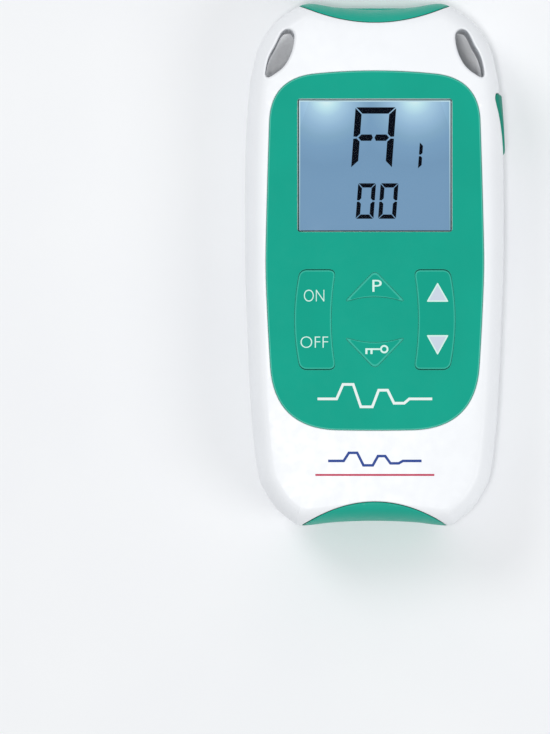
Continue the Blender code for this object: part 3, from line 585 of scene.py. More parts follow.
def rounded_wall(outline, low, high, edge, side, steps=5, centre=None):
    """Rings up a wall and over its rounded top edge; side is -1 on an outline and 1 on a hole.

    With a centre the rings are drawn in towards it instead of being offset.
    """
    rings = [lift(outline, low), lift(outline, high - edge)]
    for away, up in quarter_turn(steps)[1:]:
        if centre:
            moved = shrink(outline, centre, 1 - edge * away / ARROW_MIDDLE_R)
        else:
            moved = grow(outline, side * edge * away)
        rings.append(lift(moved, high - edge + edge * up))
    return rings


def plate(name, outline, low, high, holes=(), edge=0.3, hole_edge=0.2, spacing=0.0, shade=False):
    """Closed plate with rounded top edges on its outline and its holes; if asked, the rounded edges take a
    second material, a painted highlight.
    """
    surface = Surface()
    edge_from = 1 if shade else None
    walls = [surface.stack(rounded_wall(outline, low, high, edge, -1), edge_from)]
    for hole in holes:
        walls.append(surface.stack(rounded_wall(hole, low, high, hole_edge, 1), edge_from))
    surface.close(walls, spacing)
    return surface.build(name)


def flat_plate(name, outline, low, high):
    surface = Surface()
    surface.flat([outline], low, high)
    return surface.build(name)


# Where a tool's wall rounds off into the skin: shares of its radius (away from the wall, down from the skin)
FLARE_TURNS = [math.radians(angle) for angle in (0, 20, 40, 60, 76)]
FLARE = [(1 - math.cos(turn), 1 - math.sin(turn)) for turn in FLARE_TURNS]
FLARE_END = 0.8


def flared(name, outline, radius, side, low=None):
    """Tool whose walls round off where they meet the case's skin: side 1 to cut, -1 to keep.

    Without a low it goes right through and rounds off at the back too.
    """
    ends = grow(outline, side * radius * FLARE_END)
    rings = []
    if low is None:
        rings.append(lift(ends, -CUT))
        for away, down in reversed(FLARE):
            moved = grow(outline, side * radius * away)
            rings.append([(x, y, back_skin(x, y) + radius * down) for x, y in moved])
    else:
        rings.append(lift(outline, low))
    for away, down in FLARE:
        moved = grow(outline, side * radius * away)
        rings.append([(x, y, front_skin(x, y) - radius * down) for x, y in moved])
    rings.append(lift(ends, FACE_Z + CUT))
    return solid(name, rings)


def turned(name, profile, centre, axis, sides=48, hollow=False):
    """Turn (radius, height) steps about Z or Y through a centre; a hollow profile closes on itself."""
    rings = []
    for radius, height in profile:
        ring = []
        for i in range(sides):
            turn = 2 * math.pi * i / sides
            a = radius * math.cos(turn)
            b = radius * math.sin(turn)
            offset = (a, b, height) if axis == "Z" else (b, height, a)
            ring.append(tuple(c + d for c, d in zip(centre, offset)))
        rings.append(ring)
    if not hollow:
        return solid(name, rings, level=False)
    surface = Surface()
    bottom, top = surface.stack(rings)
    surface.band(top, bottom)
    return surface.build(name)


def box(name, low, high):
    return flat_plate(name, corners_of(low[0], low[1], high[0], high[1]), low[2], high[2])


def bake(thing):
    """Keep what the modifiers make."""
    graph = bpy.context.evaluated_depsgraph_get()
    mesh = bpy.data.meshes.new_from_object(thing.evaluated_get(graph))
    thing.modifiers.clear()
    thing.data = mesh


def carve(thing, tools, operation="DIFFERENCE"):
    """Cut with the tools, or join or keep inside them, and drop them."""
    for tool in tools:
        modifier = thing.modifiers.new(tool.name, "BOOLEAN")
        modifier.operation = operation
        modifier.solver = "EXACT"
        modifier.object = tool
    bake(thing)
    for tool in tools:
        bpy.data.objects.remove(tool)


def crown_drop(x, y, z):
    share = min(max((z - SPLIT_Z) / (FACE_Z - SPLIT_Z), 0.0), 1.0)
    return share * (CROWN_ACROSS * (x / HALF_W) ** 2 + CROWN_ALONG * (y / HALF_L) ** 2)


def crown(thing):
    """Bend a flat-built piece to the slight crown of the face."""
    for vert in thing.data.vertices:
        x, y, z = vert.co / MM
        vert.co.z = (z - crown_drop(x, y, z)) * MM


def merge_points(mesh, distance, degenerate=0.0):
    """Merge points of a mesh nearer than a distance, and drop edges and faces of almost no size."""
    shape = bmesh.new()
    shape.from_mesh(mesh)
    bmesh.ops.remove_doubles(shape, verts=shape.verts, dist=distance)
    if degenerate:
        bmesh.ops.dissolve_degenerate(shape, edges=shape.edges, dist=degenerate)
    shape.to_mesh(mesh)
    shape.free()


def tidy_edges(thing):
    """Merge points that a cut left almost on top of each other."""
    merge_points(thing.data, CUT_WIDTH * MM, CUT_WIDTH * MM / 4)


def place(thing, body, materials, replaces=(), crowned=False):
    """Give a finished mesh its crown, materials and smooth shading, and let it ride on its body."""
    if crowned:
        crown(thing)
    # Each face keeps its material slot, so the painted highlight on rounded edges survives the clearing
    shades = [min(face.material_index, len(materials) - 1) for face in thing.data.polygons]
    thing.data.materials.clear()
    for material in materials:
        thing.data.materials.append(material)
    thing.data.polygons.foreach_set("material_index", shades)
    thing.data.shade_smooth()
    thing.data.set_sharp_from_angle(angle=SHARP_FROM)
    normals = thing.modifiers.new("even_shading", "WEIGHTED_NORMAL")
    normals.keep_sharp = True
    normals.weight = FLAT_WEIGHT
    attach(thing, body)
    if replaces:
        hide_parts(*replaces)


# ---------------------------------------------------------------- materials

def srgb(*levels):
    """Linear colour from display levels of 0 to 255."""
    shares = [level / 255 for level in levels]
    return tuple(s / 12.92 if s <= 0.04045 else ((s + 0.055) / 1.055) ** 2.4 for s in shares) + (1.0,)


class Look:
    """A Principled material and short ways to wire nodes into it, over object coordinates."""

    def __init__(self, name, roughness=0.5, metallic=0.0, specular=0.5):
        self.material = bpy.data.materials.new(name)
        self.material.use_nodes = True
        self.tree = self.material.node_tree
        self.shader = self.tree.nodes["Principled BSDF"]
        self.set("Roughness", roughness)
        self.set("Metallic", metallic)
        self.set("Specular IOR Level", specular)
        self.place = self.node("ShaderNodeTexCoord").outputs["Object"]

    def feed(self, socket, value):
        """Link a socket from another node's output, or set it to a value."""
        if isinstance(value, bpy.types.NodeSocket):
            self.tree.links.new(value, socket)
        else:
            socket.default_value = value

    def set(self, socket, value):
        self.feed(self.shader.inputs[socket], value)

    def node(self, kind, inputs=(), **values):
        """New node with its properties set and its inputs, (name, value) pairs, fed."""
        made = self.tree.nodes.new(kind)
        for name, value in values.items():
            setattr(made, name, value)
        for name, value in inputs:
            self.feed(made.inputs[name], value)
        return made

    def noise(self, size, detail=3.0):
        """Noise with features of about a size in millimetres, from 0 to 1."""
        inputs = (("Scale", 1 / (size * MM)), ("Detail", detail), ("Vector", self.place))
        return self.node("ShaderNodeTexNoise", inputs).outputs["Fac"]

    def ramp(self, factor, stops):
        made = self.node("ShaderNodeValToRGB", (("Fac", factor),))
        points = made.color_ramp.elements
        while len(points) < len(stops):
            points.new(0.5)
        for point, (position, colour) in zip(points, stops):
            point.position = position
            point.color = colour
        return made.outputs["Color"]

    def spread(self, factor, low, high, socket):
        """Feed a shader socket from a 0 to 1 factor stretched between two values."""
        inputs = (("Value", factor), ("From Min", 0.3), ("From Max", 0.7), ("To Min", low), ("To Max", high))
        self.set(socket, self.node("ShaderNodeMapRange", inputs).outputs["Result"])

    def bump(self, height, depth):
        """Relief of a depth in millimetres from a height factor."""
        inputs = (("Strength", 1.0), ("Distance", depth * MM), ("Height", height))
        self.set("Normal", self.node("ShaderNodeBump", inputs).outputs["Normal"])

    def math(self, operation, a, b=0.0):
        return self.node("ShaderNodeMath", ((0, a), (1, b)), operation=operation).outputs["Value"]

    def axis(self, name):
        """Position along an axis, in metres."""
        return self.node("ShaderNodeSeparateXYZ", (("Vector", self.place),)).outputs[name]


def tinted(colour, factor):
    return tuple(min(level * factor, 1.0) for level in colour[:3]) + (1.0,)


def moulded(name, colour, roughness, specular=0.5, grain=0.25, depth=0.006, clouds=0.03):
    """Moulded plastic or rubber: fine tool grain, uneven gloss and faint clouds of tint."""
    look = Look(name, roughness, specular=specular)
    cloud = look.noise(14.0, 2.0)
    stops = ((0.3, tinted(colour, 1 - clouds)), (0.7, tinted(colour, 1 + clouds)))
    look.set("Base Color", look.ramp(cloud, stops))
    look.spread(look.noise(2.5), roughness - 0.05, roughness + 0.05, "Roughness")
    look.bump(look.noise(grain, 2.0), depth)
    return look.material


def metal(name, colour, roughness, streak=(1.0, 1.0, 1.0)):
    """Plated metal with fine drawn streaks along one axis."""
    look = Look(name, roughness, metallic=1.0)
    stretch = look.node("ShaderNodeMapping", (("Scale", streak), ("Vector", look.place)))
    streaks = (("Scale", 2500.0), ("Vector", stretch.outputs["Vector"]))
    lines = look.node("ShaderNodeTexNoise", streaks).outputs["Fac"]
    stops = ((0.3, tinted(colour, 0.82)), (0.7, tinted(colour, 1.08)))
    look.set("Base Color", look.ramp(look.noise(4.0), stops))
    look.spread(lines, roughness - 0.08, roughness + 0.1, "Roughness")
    look.bump(lines, 0.003)
    return look.material


def clear_plastic():
    """Hard-coated window: nearly clear, with the faintest haze."""
    look = Look("clear_acrylic", 0.08, specular=0.3)
    look.set("Base Color", (0.02, 0.03, 0.04, 1.0))
    look.set("Alpha", 0.05)
    look.spread(look.noise(6.0), 0.05, 0.11, "Roughness")
    look.material.use_backface_culling = False
    return look.material


def display_light():
    """Backlit LCD: two LED glows at the top edge fading down the glass, and a bright rim."""
    look = Look("display_light", 0.45, specular=0.15)
    look.set("Base Color", (0.01, 0.02, 0.04, 1.0))
    x = look.axis("X")
    y = look.axis("Y")
    nearest = None
    for spot_x in LED_X:
        across = look.math("SUBTRACT", x, spot_x * MM)
        along = look.math("SUBTRACT", y, (GLASS_HIGH.y + 0.6) * MM)
        squares = [look.math("MULTIPLY", run, run) for run in (across, along)]
        away = look.math("SQRT", look.math("ADD", *squares))
        nearest = away if nearest is None else look.math("MINIMUM", nearest, away)
    reach = look.math("DIVIDE", nearest, 20 * MM)
    wave = look.math("SUBTRACT", look.noise(9.0, 1.0), 0.5)
    glow = look.ramp(look.math("ADD", reach, look.math("MULTIPLY", wave, 0.06)), GLOW)
    side = look.math("SUBTRACT", GLASS_HIGH.x * MM, look.math("ABSOLUTE", x))
    top = look.math("SUBTRACT", GLASS_HIGH.y * MM, y)
    rim = look.math("LESS_THAN", look.math("MINIMUM", side, top), 0.3 * MM)
    fade = look.math("DIVIDE", look.math("SUBTRACT", y, GLASS_LOW.y * MM), (GLASS_HIGH.y - GLASS_LOW.y) * MM)
    edge = look.ramp(fade, ((0.0, srgb(128, 168, 190)), (1.0, srgb(196, 228, 238))))
    mixed = look.node("ShaderNodeMix", ((0, rim), (6, glow), (7, edge)), data_type="RGBA")
    look.set("Emission Color", mixed.outputs[2])
    look.set("Emission Strength", 0.94)
    look.bump(look.noise(0.2, 1.0), 0.001)
    return look.material


def circuit_board():
    """Solder mask over copper tracks."""
    look = Look("solder_mask", 0.4)
    inputs = (("Scale", 180.0), ("Mortar Size", 0.03), ("Color1", srgb(18, 92, 52)),
              ("Color2", srgb(22, 104, 60)), ("Mortar", srgb(46, 140, 88)), ("Vector", look.place))
    tracks = look.node("ShaderNodeTexBrick", inputs, offset=0.5)
    look.set("Base Color", tracks.outputs["Color"])
    look.spread(look.noise(1.5), 0.34, 0.5, "Roughness")
    look.bump(tracks.outputs["Fac"], 0.03)
    return look.material


def cell_wrap(node):
    """Printed sleeve of a cell: steel at both ends, and two plain bands of colour round it."""
    low, high = cad_box(node)
    look = Look(f"{node}_sleeve", 0.3)
    share = look.math("DIVIDE", look.math("SUBTRACT", look.axis("Y"), low.y * MM), (high.y - low.y) * MM)
    if node.endswith("right"):
        share = look.math("SUBTRACT", 1.0, share)
    bands = look.ramp(share, (
        (0.0, srgb(170, 172, 176)), (0.03, srgb(58, 62, 70)), (0.66, srgb(58, 62, 70)),
        (0.665, srgb(202, 148, 64)), (0.95, srgb(202, 148, 64)), (0.955, srgb(190, 192, 196))))
    look.set("Base Color", bands)
    look.spread(look.noise(3.0), 0.24, 0.38, "Roughness")
    look.bump(look.noise(0.5), 0.004)
    return look.material


LED_X = (-11.5, 9.5)
GLOW = (
    (0.0, srgb(226, 252, 254)), (0.05, srgb(224, 253, 254)), (0.12, srgb(200, 240, 248)),
    (0.22, srgb(173, 211, 234)), (0.34, srgb(152, 190, 219)), (0.46, srgb(134, 174, 202)),
    (0.58, srgb(123, 163, 196)), (0.8, srgb(116, 155, 188)), (1.0, srgb(118, 157, 190)))

WHITE = srgb(246, 248, 251)
GREEN = srgb(22, 166, 142)

white_abs = moulded("white_abs", WHITE, 0.36, 0.45, clouds=0.012)
green_abs = moulded("green_abs", GREEN, 0.5, 0.05, grain=0.2, depth=0.008)
# Lighter green for the fascia's rounded edges: a painted highlight where they catch the light
green_edge_highlight = moulded("green_abs_painted_highlight", srgb(74, 190, 168), 0.4, 0.25)
cap_green = moulded("cap_green", srgb(30, 170, 147), 0.4, 0.2)
key_green = moulded("key_rubber", srgb(21, 164, 140), 0.6, 0.05, grain=0.3, depth=0.012)
# Lighter green for the keys' rounded top edges: a painted highlight where they catch the light
key_edge_highlight = moulded("key_rubber_painted_highlight", srgb(62, 186, 163), 0.55, 0.1)
boost_green = moulded("boost_rubber", srgb(30, 140, 120), 0.55, 0.15, grain=0.3, depth=0.012)
print_pale = moulded("pale_print", srgb(217, 247, 238), 0.5, 0.2, clouds=0.01)
print_grey = moulded("grey_print", srgb(205, 217, 230), 0.5, 0.2, clouds=0.01)
print_white = moulded("white_print", srgb(236, 246, 243), 0.5, 0.2, clouds=0.01)
print_navy = moulded("navy_print", srgb(42, 72, 148), 0.5, 0.2)
print_red = moulded("red_print", srgb(198, 62, 92), 0.5, 0.2)
digit_ink = moulded("digit_ink", srgb(2, 5, 18), 0.6, 0.02)
black_abs = moulded("black_abs", srgb(34, 34, 38), 0.45)
carbon = moulded("carbon_rubber", srgb(48, 48, 52), 0.75)
silicone = moulded("mat_silicone", srgb(126, 130, 134), 0.7)
diffuser = moulded("light_guide", srgb(222, 238, 244), 0.45)
led_epoxy = moulded("led_epoxy", srgb(232, 226, 180), 0.4)
epoxy = moulded("chip_epoxy", srgb(38, 38, 40), 0.5, grain=0.12)
tape = moulded("winding_tape", srgb(196, 164, 52), 0.35)
sleeve = moulded("capacitor_sleeve", srgb(36, 50, 94), 0.3)
ferrite = moulded("ferrite", srgb(72, 72, 76), 0.65, grain=0.15, depth=0.02)
steel = metal("nickel_steel", (0.62, 0.62, 0.60, 1.0), 0.28, (1.0, 0.1, 1.0))
spring_steel = metal("spring_steel", (0.55, 0.55, 0.54, 1.0), 0.25, (1.0, 1.0, 0.1))
window_clear = clear_plastic()

CAD_LOOKS = {
    "lcd_glass": display_light(), "lcd_holder": white_abs, "lcd_backlight": diffuser,
    "lcd_zebra_strip": carbon, "keypad_mat": silicone, "main_board": circuit_board(),
    "microcontroller": epoxy, "storage_capacitor": sleeve, "boost_coil": ferrite, "boost_switch": black_abs,
}
for side_name in SIDES:
    CAD_LOOKS[f"battery_{side_name}"] = cell_wrap(f"battery_{side_name}")
    for stem, look in (("backlight_led", led_epoxy), ("pulse_transformer", tape),
                       ("battery_spring", spring_steel), ("contact_plate", steel), ("spring_plate", steel)):
        CAD_LOOKS[f"{stem}_{side_name}"] = look
for key in ("on", "off", "up", "down", "program", "lock"):
    CAD_LOOKS[f"{key}_contact"] = carbon


# ---------------------------------------------------------------- the case

def shell_rings(side, roll, roll_z):
    """Rings from the seam over the edge roll; side is 1 for the front shell and -1 for the rear."""
    seam = SPLIT_Z + side * SEAM / 2
    rings = [lift(grow(OUTLINE, -SEAM_LIP), seam), lift(OUTLINE, seam + side * SEAM_LIP)]
    for away, up in quarter_turn(ROLL_STEPS):
        rings.append(lift(inset(OUTLINE, roll * away), roll_z + side * ROLL_UP * up))
    return rings


FRONT_RINGS = shell_rings(1, FACE_ROLL, FACE_ROLL_Z)
BACK_RINGS = shell_rings(-1, BACK_ROLL, BACK_ROLL_Z)


def whole_case(name):
    return solid(name, BACK_RINGS[:1:-1] + FRONT_RINGS[2:], spacing=FACE_GRID)


def screw_places():
    places = []
    for side_name in SIDES:
        for end_name in ("top", "bottom"):
            low, high = cad_box(f"case_screw_{end_name}_{side_name}")
            places.append((f"{end_name}_{side_name}", (low.x + high.x) / 2, (low.y + high.y) / 2))
    return places


def socket_places():
    """Side, X, radius and inner and outer Y of each lead socket."""
    places = []
    for side_name in SIDES:
        low, high = cad_box(f"lead_socket_{side_name}")
        places.append((side_name, (low.x + high.x) / 2, (high.x - low.x) / 2, low.y, high.y))
    return places


def cavity(name, low, high):
    """Hollow inside the walls, clear of the lanyard slots in the top corners."""
    half = [(24.6, -52.6), (28.0, -10.0), (28.0, 12.0), (27.4, 40.0), (23.2, 41.8), (19.2, 45.4),
            (17.4, 49.6), (16.6, 54.6)]
    outline = half + [(-x, y) for x, y in reversed(half)]
    return flat_plate(name, outline, low, high)


def case_tools(tag):
    """What passes through both shells: slots, end caps, lead sockets and the boost button."""
    right_slot = slot_outline()
    tools = [flared(f"{tag}_slot_right", right_slot, SLOT_EDGE, 1)]
    tools.append(flared(f"{tag}_slot_left", mirrored(right_slot), SLOT_EDGE, 1))
    tools.append(flared(f"{tag}_top", cap_outline(TOP_CAP, 1, 0.12), CAP_EDGE, 1))
    low = cad_box("bottom_end_cap")[0].z - GAP
    tools.append(flared(f"{tag}_bottom", cap_outline(BOTTOM_CAP, -1, 0.12), CAP_EDGE, 1, low))
    for side_name, x, radius, inner, _ in socket_places():
        bore = ((radius + GAP, 0), (radius + GAP, 4 * CUT))
        tools.append(turned(f"{tag}_{side_name}", bore, (x, inner - GAP, SPLIT_Z), "Y"))
    tools.append(side_tool(f"{tag}_boost", 0.12, 1, BOOST_LOW.x - GAP))
    return tools


def boost_outline():
    """Side outline of the boost button in (Y, Z): blunt at the top end, tapering away from it."""
    middle = (BOOST_LOW.y + BOOST_HIGH.y) / 2
    tail = middle - BOOST_HALF_L
    head = middle + BOOST_HALF_L
    corners = ((tail, BOOST_FOOT), (head, BOOST_FOOT), (head, FACE_Z - 1.9), (tail, FACE_Z - 8.3))
    return soft_polygon(corners, (0,) * 4, (BOOST_CUT,) * 4, 6, 8)


def side_tool(name, grown, side, start, radius=0.35, proud=0.0):
    """Tool along X through the right side, rounded off where it meets the skin."""
    outline = grow(boost_outline(), grown)
    rings = [[(start, y, z) for y, z in outline]]
    for away, down in FLARE:
        moved = grow(outline, side * radius * away)
        rings.append([(side_skin(y, z) + proud - radius * down, y, z) for y, z in moved])
    ends = grow(outline, side * radius * FLARE_END)
    rings.append([(HALF_W + CUT, y, z) for y, z in ends])
    return solid(name, rings, level=False)


def make_front_shell():
    shell = solid("front_shell_fine", FRONT_RINGS, spacing=FACE_GRID)
    carve(shell, [cavity("front_hollow", SPLIT_Z - CUT, ROOF_Z)])
    recess = grow(fascia_outline(), GAP)
    opening = grow(fascia_outline(), -RIM_WIDTH)
    tools = [
        flared("fascia_recess", recess, FASCIA_EDGE, 1, RIM_TOP),
        flat_plate("fascia_opening", opening, SPLIT_Z, FACE_Z + CUT),
    ]
    carve(shell, tools + case_tools("front"))
    tidy_edges(shell)
    place(shell, "case", [white_abs], ["front_shell"], True)


def make_rear_shell():
    shell = solid("rear_shell_fine", BACK_RINGS)
    door_top = cad_box("battery_door")[1].z
    bay_low = Vector((-BAY_HALF_W, cad_box("spring_plate_left")[0].y - GAP, 0))
    bay_high = Vector((BAY_HALF_W, cad_box("contact_plate_left")[1].y + GAP,
                       cad_box("battery_left")[1].z + GAP))
    floor = door_top + GAP + BAY_WALL
    carve(shell, [cavity("rear_hollow", floor, SPLIT_Z + CUT)])
    block = box("bay_block", (bay_low.x - BAY_WALL, bay_low.y - BAY_WALL, WALL - 0.5),
                (bay_high.x + BAY_WALL, bay_high.y + BAY_WALL, bay_high.z + 1.0))
    carve(shell, [block], "UNION")
    tools = [
        box("bay_hollow", (bay_low.x, bay_low.y, -CUT), tuple(bay_high)),
        door_channel(door_top + GAP),
    ]
    for name, x, y in screw_places():
        head = cad_box(f"case_screw_{name}")
        radius = (head[1].x - head[0].x) / 2 + GAP
        sink = ((radius + 0.65, -0.3), (radius, 0.35), (radius, 3.3 + GAP))
        tools.append(turned(f"sink_{name}", sink, (x, y, 0), "Z"))
        tools.append(turned(f"bore_{name}", ((1.55, -CUT), (1.55, FACE_Z)), (x, y, 0), "Z", 24))
    carve(shell, tools + case_tools("rear"))
    tidy_edges(shell)
    place(shell, "case", [white_abs], ["rear_shell"])


def door_outline(grown):
    low, high = cad_box("battery_door")
    return rectangle(low.x - grown, -HALF_L - CUT, high.x + grown, high.y + grown, 2.5)


def door_channel(high):
    """Door-shaped cutter from below the back, rounded off at the back's plane."""
    outline = door_outline(GAP * 0.6)
    ends = grow(outline, DOOR_EDGE)
    rings = [lift(ends, -CUT), lift(ends, 0.0)]
    for angle in (30, 60, 90):
        turn = math.radians(angle)
        moved = grow(outline, DOOR_EDGE * (1 - math.sin(turn)))
        rings.append(lift(moved, DOOR_EDGE * (1 - math.cos(turn))))
    return solid("door_channel", rings + [lift(outline, high)])


def make_door():
    low, high = cad_box("battery_door")
    outline = door_outline(0.0)
    rings = [lift(outline, high.z), lift(outline, low.z + DOOR_EDGE)]
    for angle in (22, 45, 67, 90):
        turn = math.radians(angle)
        moved = grow(outline, -DOOR_EDGE * (1 - math.cos(turn)))
        rings.append(lift(moved, low.z + DOOR_EDGE * (1 - math.sin(turn))))
    door = solid("battery_door_fine", rings)
    carve(door, [whole_case("door_skin")], "INTERSECT")
    tools = []
    for i in range(GROOVES):
        outline = capsule(6.5, high.y - 5.0 - GROOVE_STEP * i, 0.55)
        tools.append(plate(f"thumb_groove_{i}", outline, low.z - CUT, low.z + 0.55, edge=0.4))
    arrow = soft_polygon(((-2.6, high.y - 17.6), (0.0, high.y - 20.8), (2.6, high.y - 17.6)),
                         (0,) * 3, (0.8,) * 3, 2, 6)
    tools.append(plate("slide_arrow", arrow, low.z - CUT, low.z + 0.35, edge=0.1))
    carve(door, tools)
    tidy_edges(door)
    place(door, "door", [white_abs], ["battery_door"])


def make_end_cap(node, size, end, low):
    cap = whole_case(f"{node}_fine")
    carve(cap, [flared(f"{node}_plug", cap_outline(size, end, 0.0), CAP_EDGE, -1, low)], "INTERSECT")
    if end > 0:
        pad_top = HALF_L - TOP_DISH + 0.35
        pad = rectangle(-8.4, HALF_L - 4.0, 8.4, pad_top, 1.2)
        carve(cap, [plate("socket_pad", pad, SPLIT_Z - 4.6, SPLIT_Z + 4.6, edge=0.6)], "UNION")
        profile = ((2.5, -3 * CUT), (2.5, -0.5), (2.62, -0.2), (2.9, 0.0), (3.2, 0.1), (3.2, CUT))
        carve(cap, [turned(f"{node}_{side_name}", profile, (x, pad_top, SPLIT_Z), "Y")
                    for side_name, x, *_ in socket_places()])
    tidy_edges(cap)
    place(cap, "case", [cap_green], [node], True)


def make_boost_button():
    button = whole_case("boost_button_fine")
    for vert in button.data.vertices:
        vert.co.x += BOOST_PROUD * MM
    start = BOOST_LOW.x + 1.1
    carve(button, [side_tool("boost_plug", 0.0, -1, start, 0.8, BOOST_PROUD)], "INTERSECT")
    tidy_edges(button)
    place(button, "boost_key", [boost_green], ["boost_button"], True)


# ---------------------------------------------------------------- the face

def window_outline(grown=0.0):
    return rectangle(WINDOW_LOW.x - grown, WINDOW_LOW.y - grown, WINDOW_HIGH.x + grown, WINDOW_HIGH.y + grown,
                     0.8)


KEYS = {
    "key_on_off": ("on_off_rocker", mirrored(rocker_outline())),
    "key_intensity": ("intensity_rocker", rocker_outline()),
    "key_program": ("program_key", arrow_outline(KEYS_TOP, 1)),
    "key_lock": ("lock_key", arrow_outline(KEYS_BOTTOM, -1)),
}
ARROW_MIDDLES = {
    "key_program": (0.0, KEYS_TOP - ARROW_MIDDLE),
    "key_lock": (0.0, KEYS_BOTTOM + ARROW_MIDDLE),
}
KEY_TOP = FACE_Z + 0.3
PRINT = 0.03             # height of a printed mark over its surface
PRINT_SUNK = 0.02        # and how far its underside is sunk in


def make_fascia():
    holes = [window_outline(0.1)]
    for body, outline in KEYS.values():
        stretch = ROCK_ROOM if body.endswith("rocker") else 1.0
        holes.append([(x, KEYS_Y + (y - KEYS_Y) * stretch) for x, y in grow(outline, KEY_SLIT)])
    outline = grow(fascia_outline(), GAP - FASCIA_SLIT)
    # The last argument gives the fascia's rounded edges the painted highlight material
    fascia = plate("fascia_fine", outline, FASCIA_Z, FACE_Z, holes, FASCIA_EDGE, 0.05, 2.4, True)
    place(fascia, "case", [green_abs, green_edge_highlight], ["fascia_panel"], True)


def make_window():
    window = plate("window_fine", window_outline(), WINDOW_LOW.z, WINDOW_HIGH.z, edge=0.15, spacing=4.0)
    place(window, "case", [window_clear], ["display_window"], True)


def make_keys():
    low = FASCIA_Z - 0.7
    for node, (body, outline) in KEYS.items():
        foot = grow(outline, KEY_FOOT)
        rings = [lift(foot, low - KEY_FOOT_T), lift(foot, low)]
        rings += rounded_wall(outline, low, KEY_TOP, KEY_EDGE, -1, centre=ARROW_MIDDLES.get(node))
        # Bands from the fourth on, round the key's top edge, take the painted highlight material
        key = solid(f"{node}_fine", rings, 3, 1.8)
        place(key, body, [key_green, key_edge_highlight], [node], True)


def thin_mark(name, outlines, surface_z, body, look, thickness=PRINT):
    """Printed mark: thin plates on the crowned face, one mesh."""
    surface = Surface()
    for loops in outlines:
        surface.flat(loops, surface_z - PRINT_SUNK, surface_z + thickness)
    place(surface.build(name), body, [look], crowned=True)


def lettering(name, text, low, high, body, thinner=0.0):
    """Plain printed capitals fitted between two corners on a key."""
    words = bpy.data.curves.new(name, "FONT")
    words.body = text
    words.extrude = 0.025
    words.offset = -thinner
    words.resolution_u = 6
    source = new_object(name, words)
    graph = bpy.context.evaluated_depsgraph_get()
    mesh = bpy.data.meshes.new_from_object(source.evaluated_get(graph))
    bpy.data.objects.remove(source)
    merge_points(mesh, 1e-5)
    places = np.array([tuple(vert.co) for vert in mesh.vertices])
    small = places.min(0)
    large = places.max(0)
    for vert in mesh.vertices:
        x = low[0] + (vert.co.x - small[0]) / (large[0] - small[0]) * (high[0] - low[0])
        y = low[1] + (vert.co.y - small[1]) / (large[1] - small[1]) * (high[1] - low[1])
        z = KEY_TOP + (PRINT if vert.co.z > 0 else -PRINT_SUNK)
        vert.co = Vector((x, y, z - crown_drop(x, y, z))) * MM
    place(new_object(name, mesh), body, [print_pale])


def make_key_marks():
    lettering("on_letters", "ON", (-16.7, KEYS_TOP - 7.4), (-11.9, KEYS_TOP - 4.6), "on_off_rocker", 0.016)
    lettering("off_letters", "OFF", (-17.5, KEYS_TOP - 18.3), (-11.0, KEYS_TOP - 15.6), "on_off_rocker",
              0.016)
    lettering("program_letter", "P", (-0.6, KEYS_TOP - 5.1), (1.6, KEYS_TOP - 2.3), "program_key")
    arrow_x = ROCKER_OUT - ROCKER_W / 2 + 1.35
    for name, tip, base in (("up_mark", KEYS_TOP - 2.9, KEYS_TOP - 7.45),
                            ("down_mark", KEYS_BOTTOM + 3.3, KEYS_BOTTOM + 8.0)):
        corners = [(arrow_x - 2.6, base), (arrow_x + 2.6, base), (arrow_x, tip)]
        if tip < base:
            corners = [corners[1], corners[0], corners[2]]
        outline = soft_polygon(corners, (0,) * 3, (0.3,) * 3, 2, 4)
        middle_y = base + (tip - base) / 3
        inner = shrink(outline, (arrow_x, middle_y), 0.8)
        thin_mark(name, [[inner]], KEY_TOP, "intensity_rocker", print_grey, 0.035)
        thin_mark(f"{name}_rim", [[outline, inner]], KEY_TOP, "intensity_rocker", print_pale, 0.03)
    y = KEYS_BOTTOM + 4.7
    ring = [circle(2.2, y, 0.98), circle(2.2, y, 0.56)]
    shaft = []
    for x in (-2.25, -1.05):
        shaft += [(x, y - 1.15), (x + 0.5, y - 1.15), (x + 0.5, y - 0.2), (x + 1.2, y - 0.2)]
    shaft = shaft[:-1] + [(1.21, y - 0.2), (1.21, y + 0.2), (-2.25, y + 0.2)]
    thin_mark("key_symbol", [ring, [shaft]], KEY_TOP, "lock_key", print_pale)


def stepped(points, step=2.0):
    """The same line with points at least every step, so that it can follow the crown."""
    line = [points[0]]
    for start, end in zip(points, points[1:]):
        count = max(1, math.ceil(math.dist(start, end) / step))
        for i in range(1, count + 1):
            share = i / count
            line.append((start[0] + (end[0] - start[0]) * share, start[1] + (end[1] - start[1]) * share))
    return line


def pulse_line(x0, y, width, height):
    """Line of a two-phase pulse train, the unit's kind of output."""
    step = width / 9
    shape = ((0, 0), (1.5, 0), (2.0, 1), (2.8, 1), (3.4, -0.55), (4.3, -0.55), (4.8, 0.6), (5.5, 0.6),
             (6.0, -0.3), (6.8, -0.3), (7.2, 0), (9, 0))
    return stepped([(x0 + across * step, y + up * height) for across, up in shape])


def make_plain_marks():
    """Plain pulse lines where the real unit carries its names."""
    line = ribbon(pulse_line(-13.5, -31.6, 27.0, 3.4), 0.62)
    thin_mark("fascia_pulse_mark", [[line]], FACE_Z, "case", print_white)
    line = ribbon(pulse_line(-11.0, -46.2, 22.0, 1.9), 0.6)
    thin_mark("case_pulse_mark", [[line]], FACE_Z, "case", print_navy)
    bar = ribbon(stepped([(-14.0, -49.5), (14.0, -49.5)]), 0.45)
    thin_mark("case_bar_mark", [[bar]], FACE_Z, "case", print_red)


# ---------------------------------------------------------------- display digits

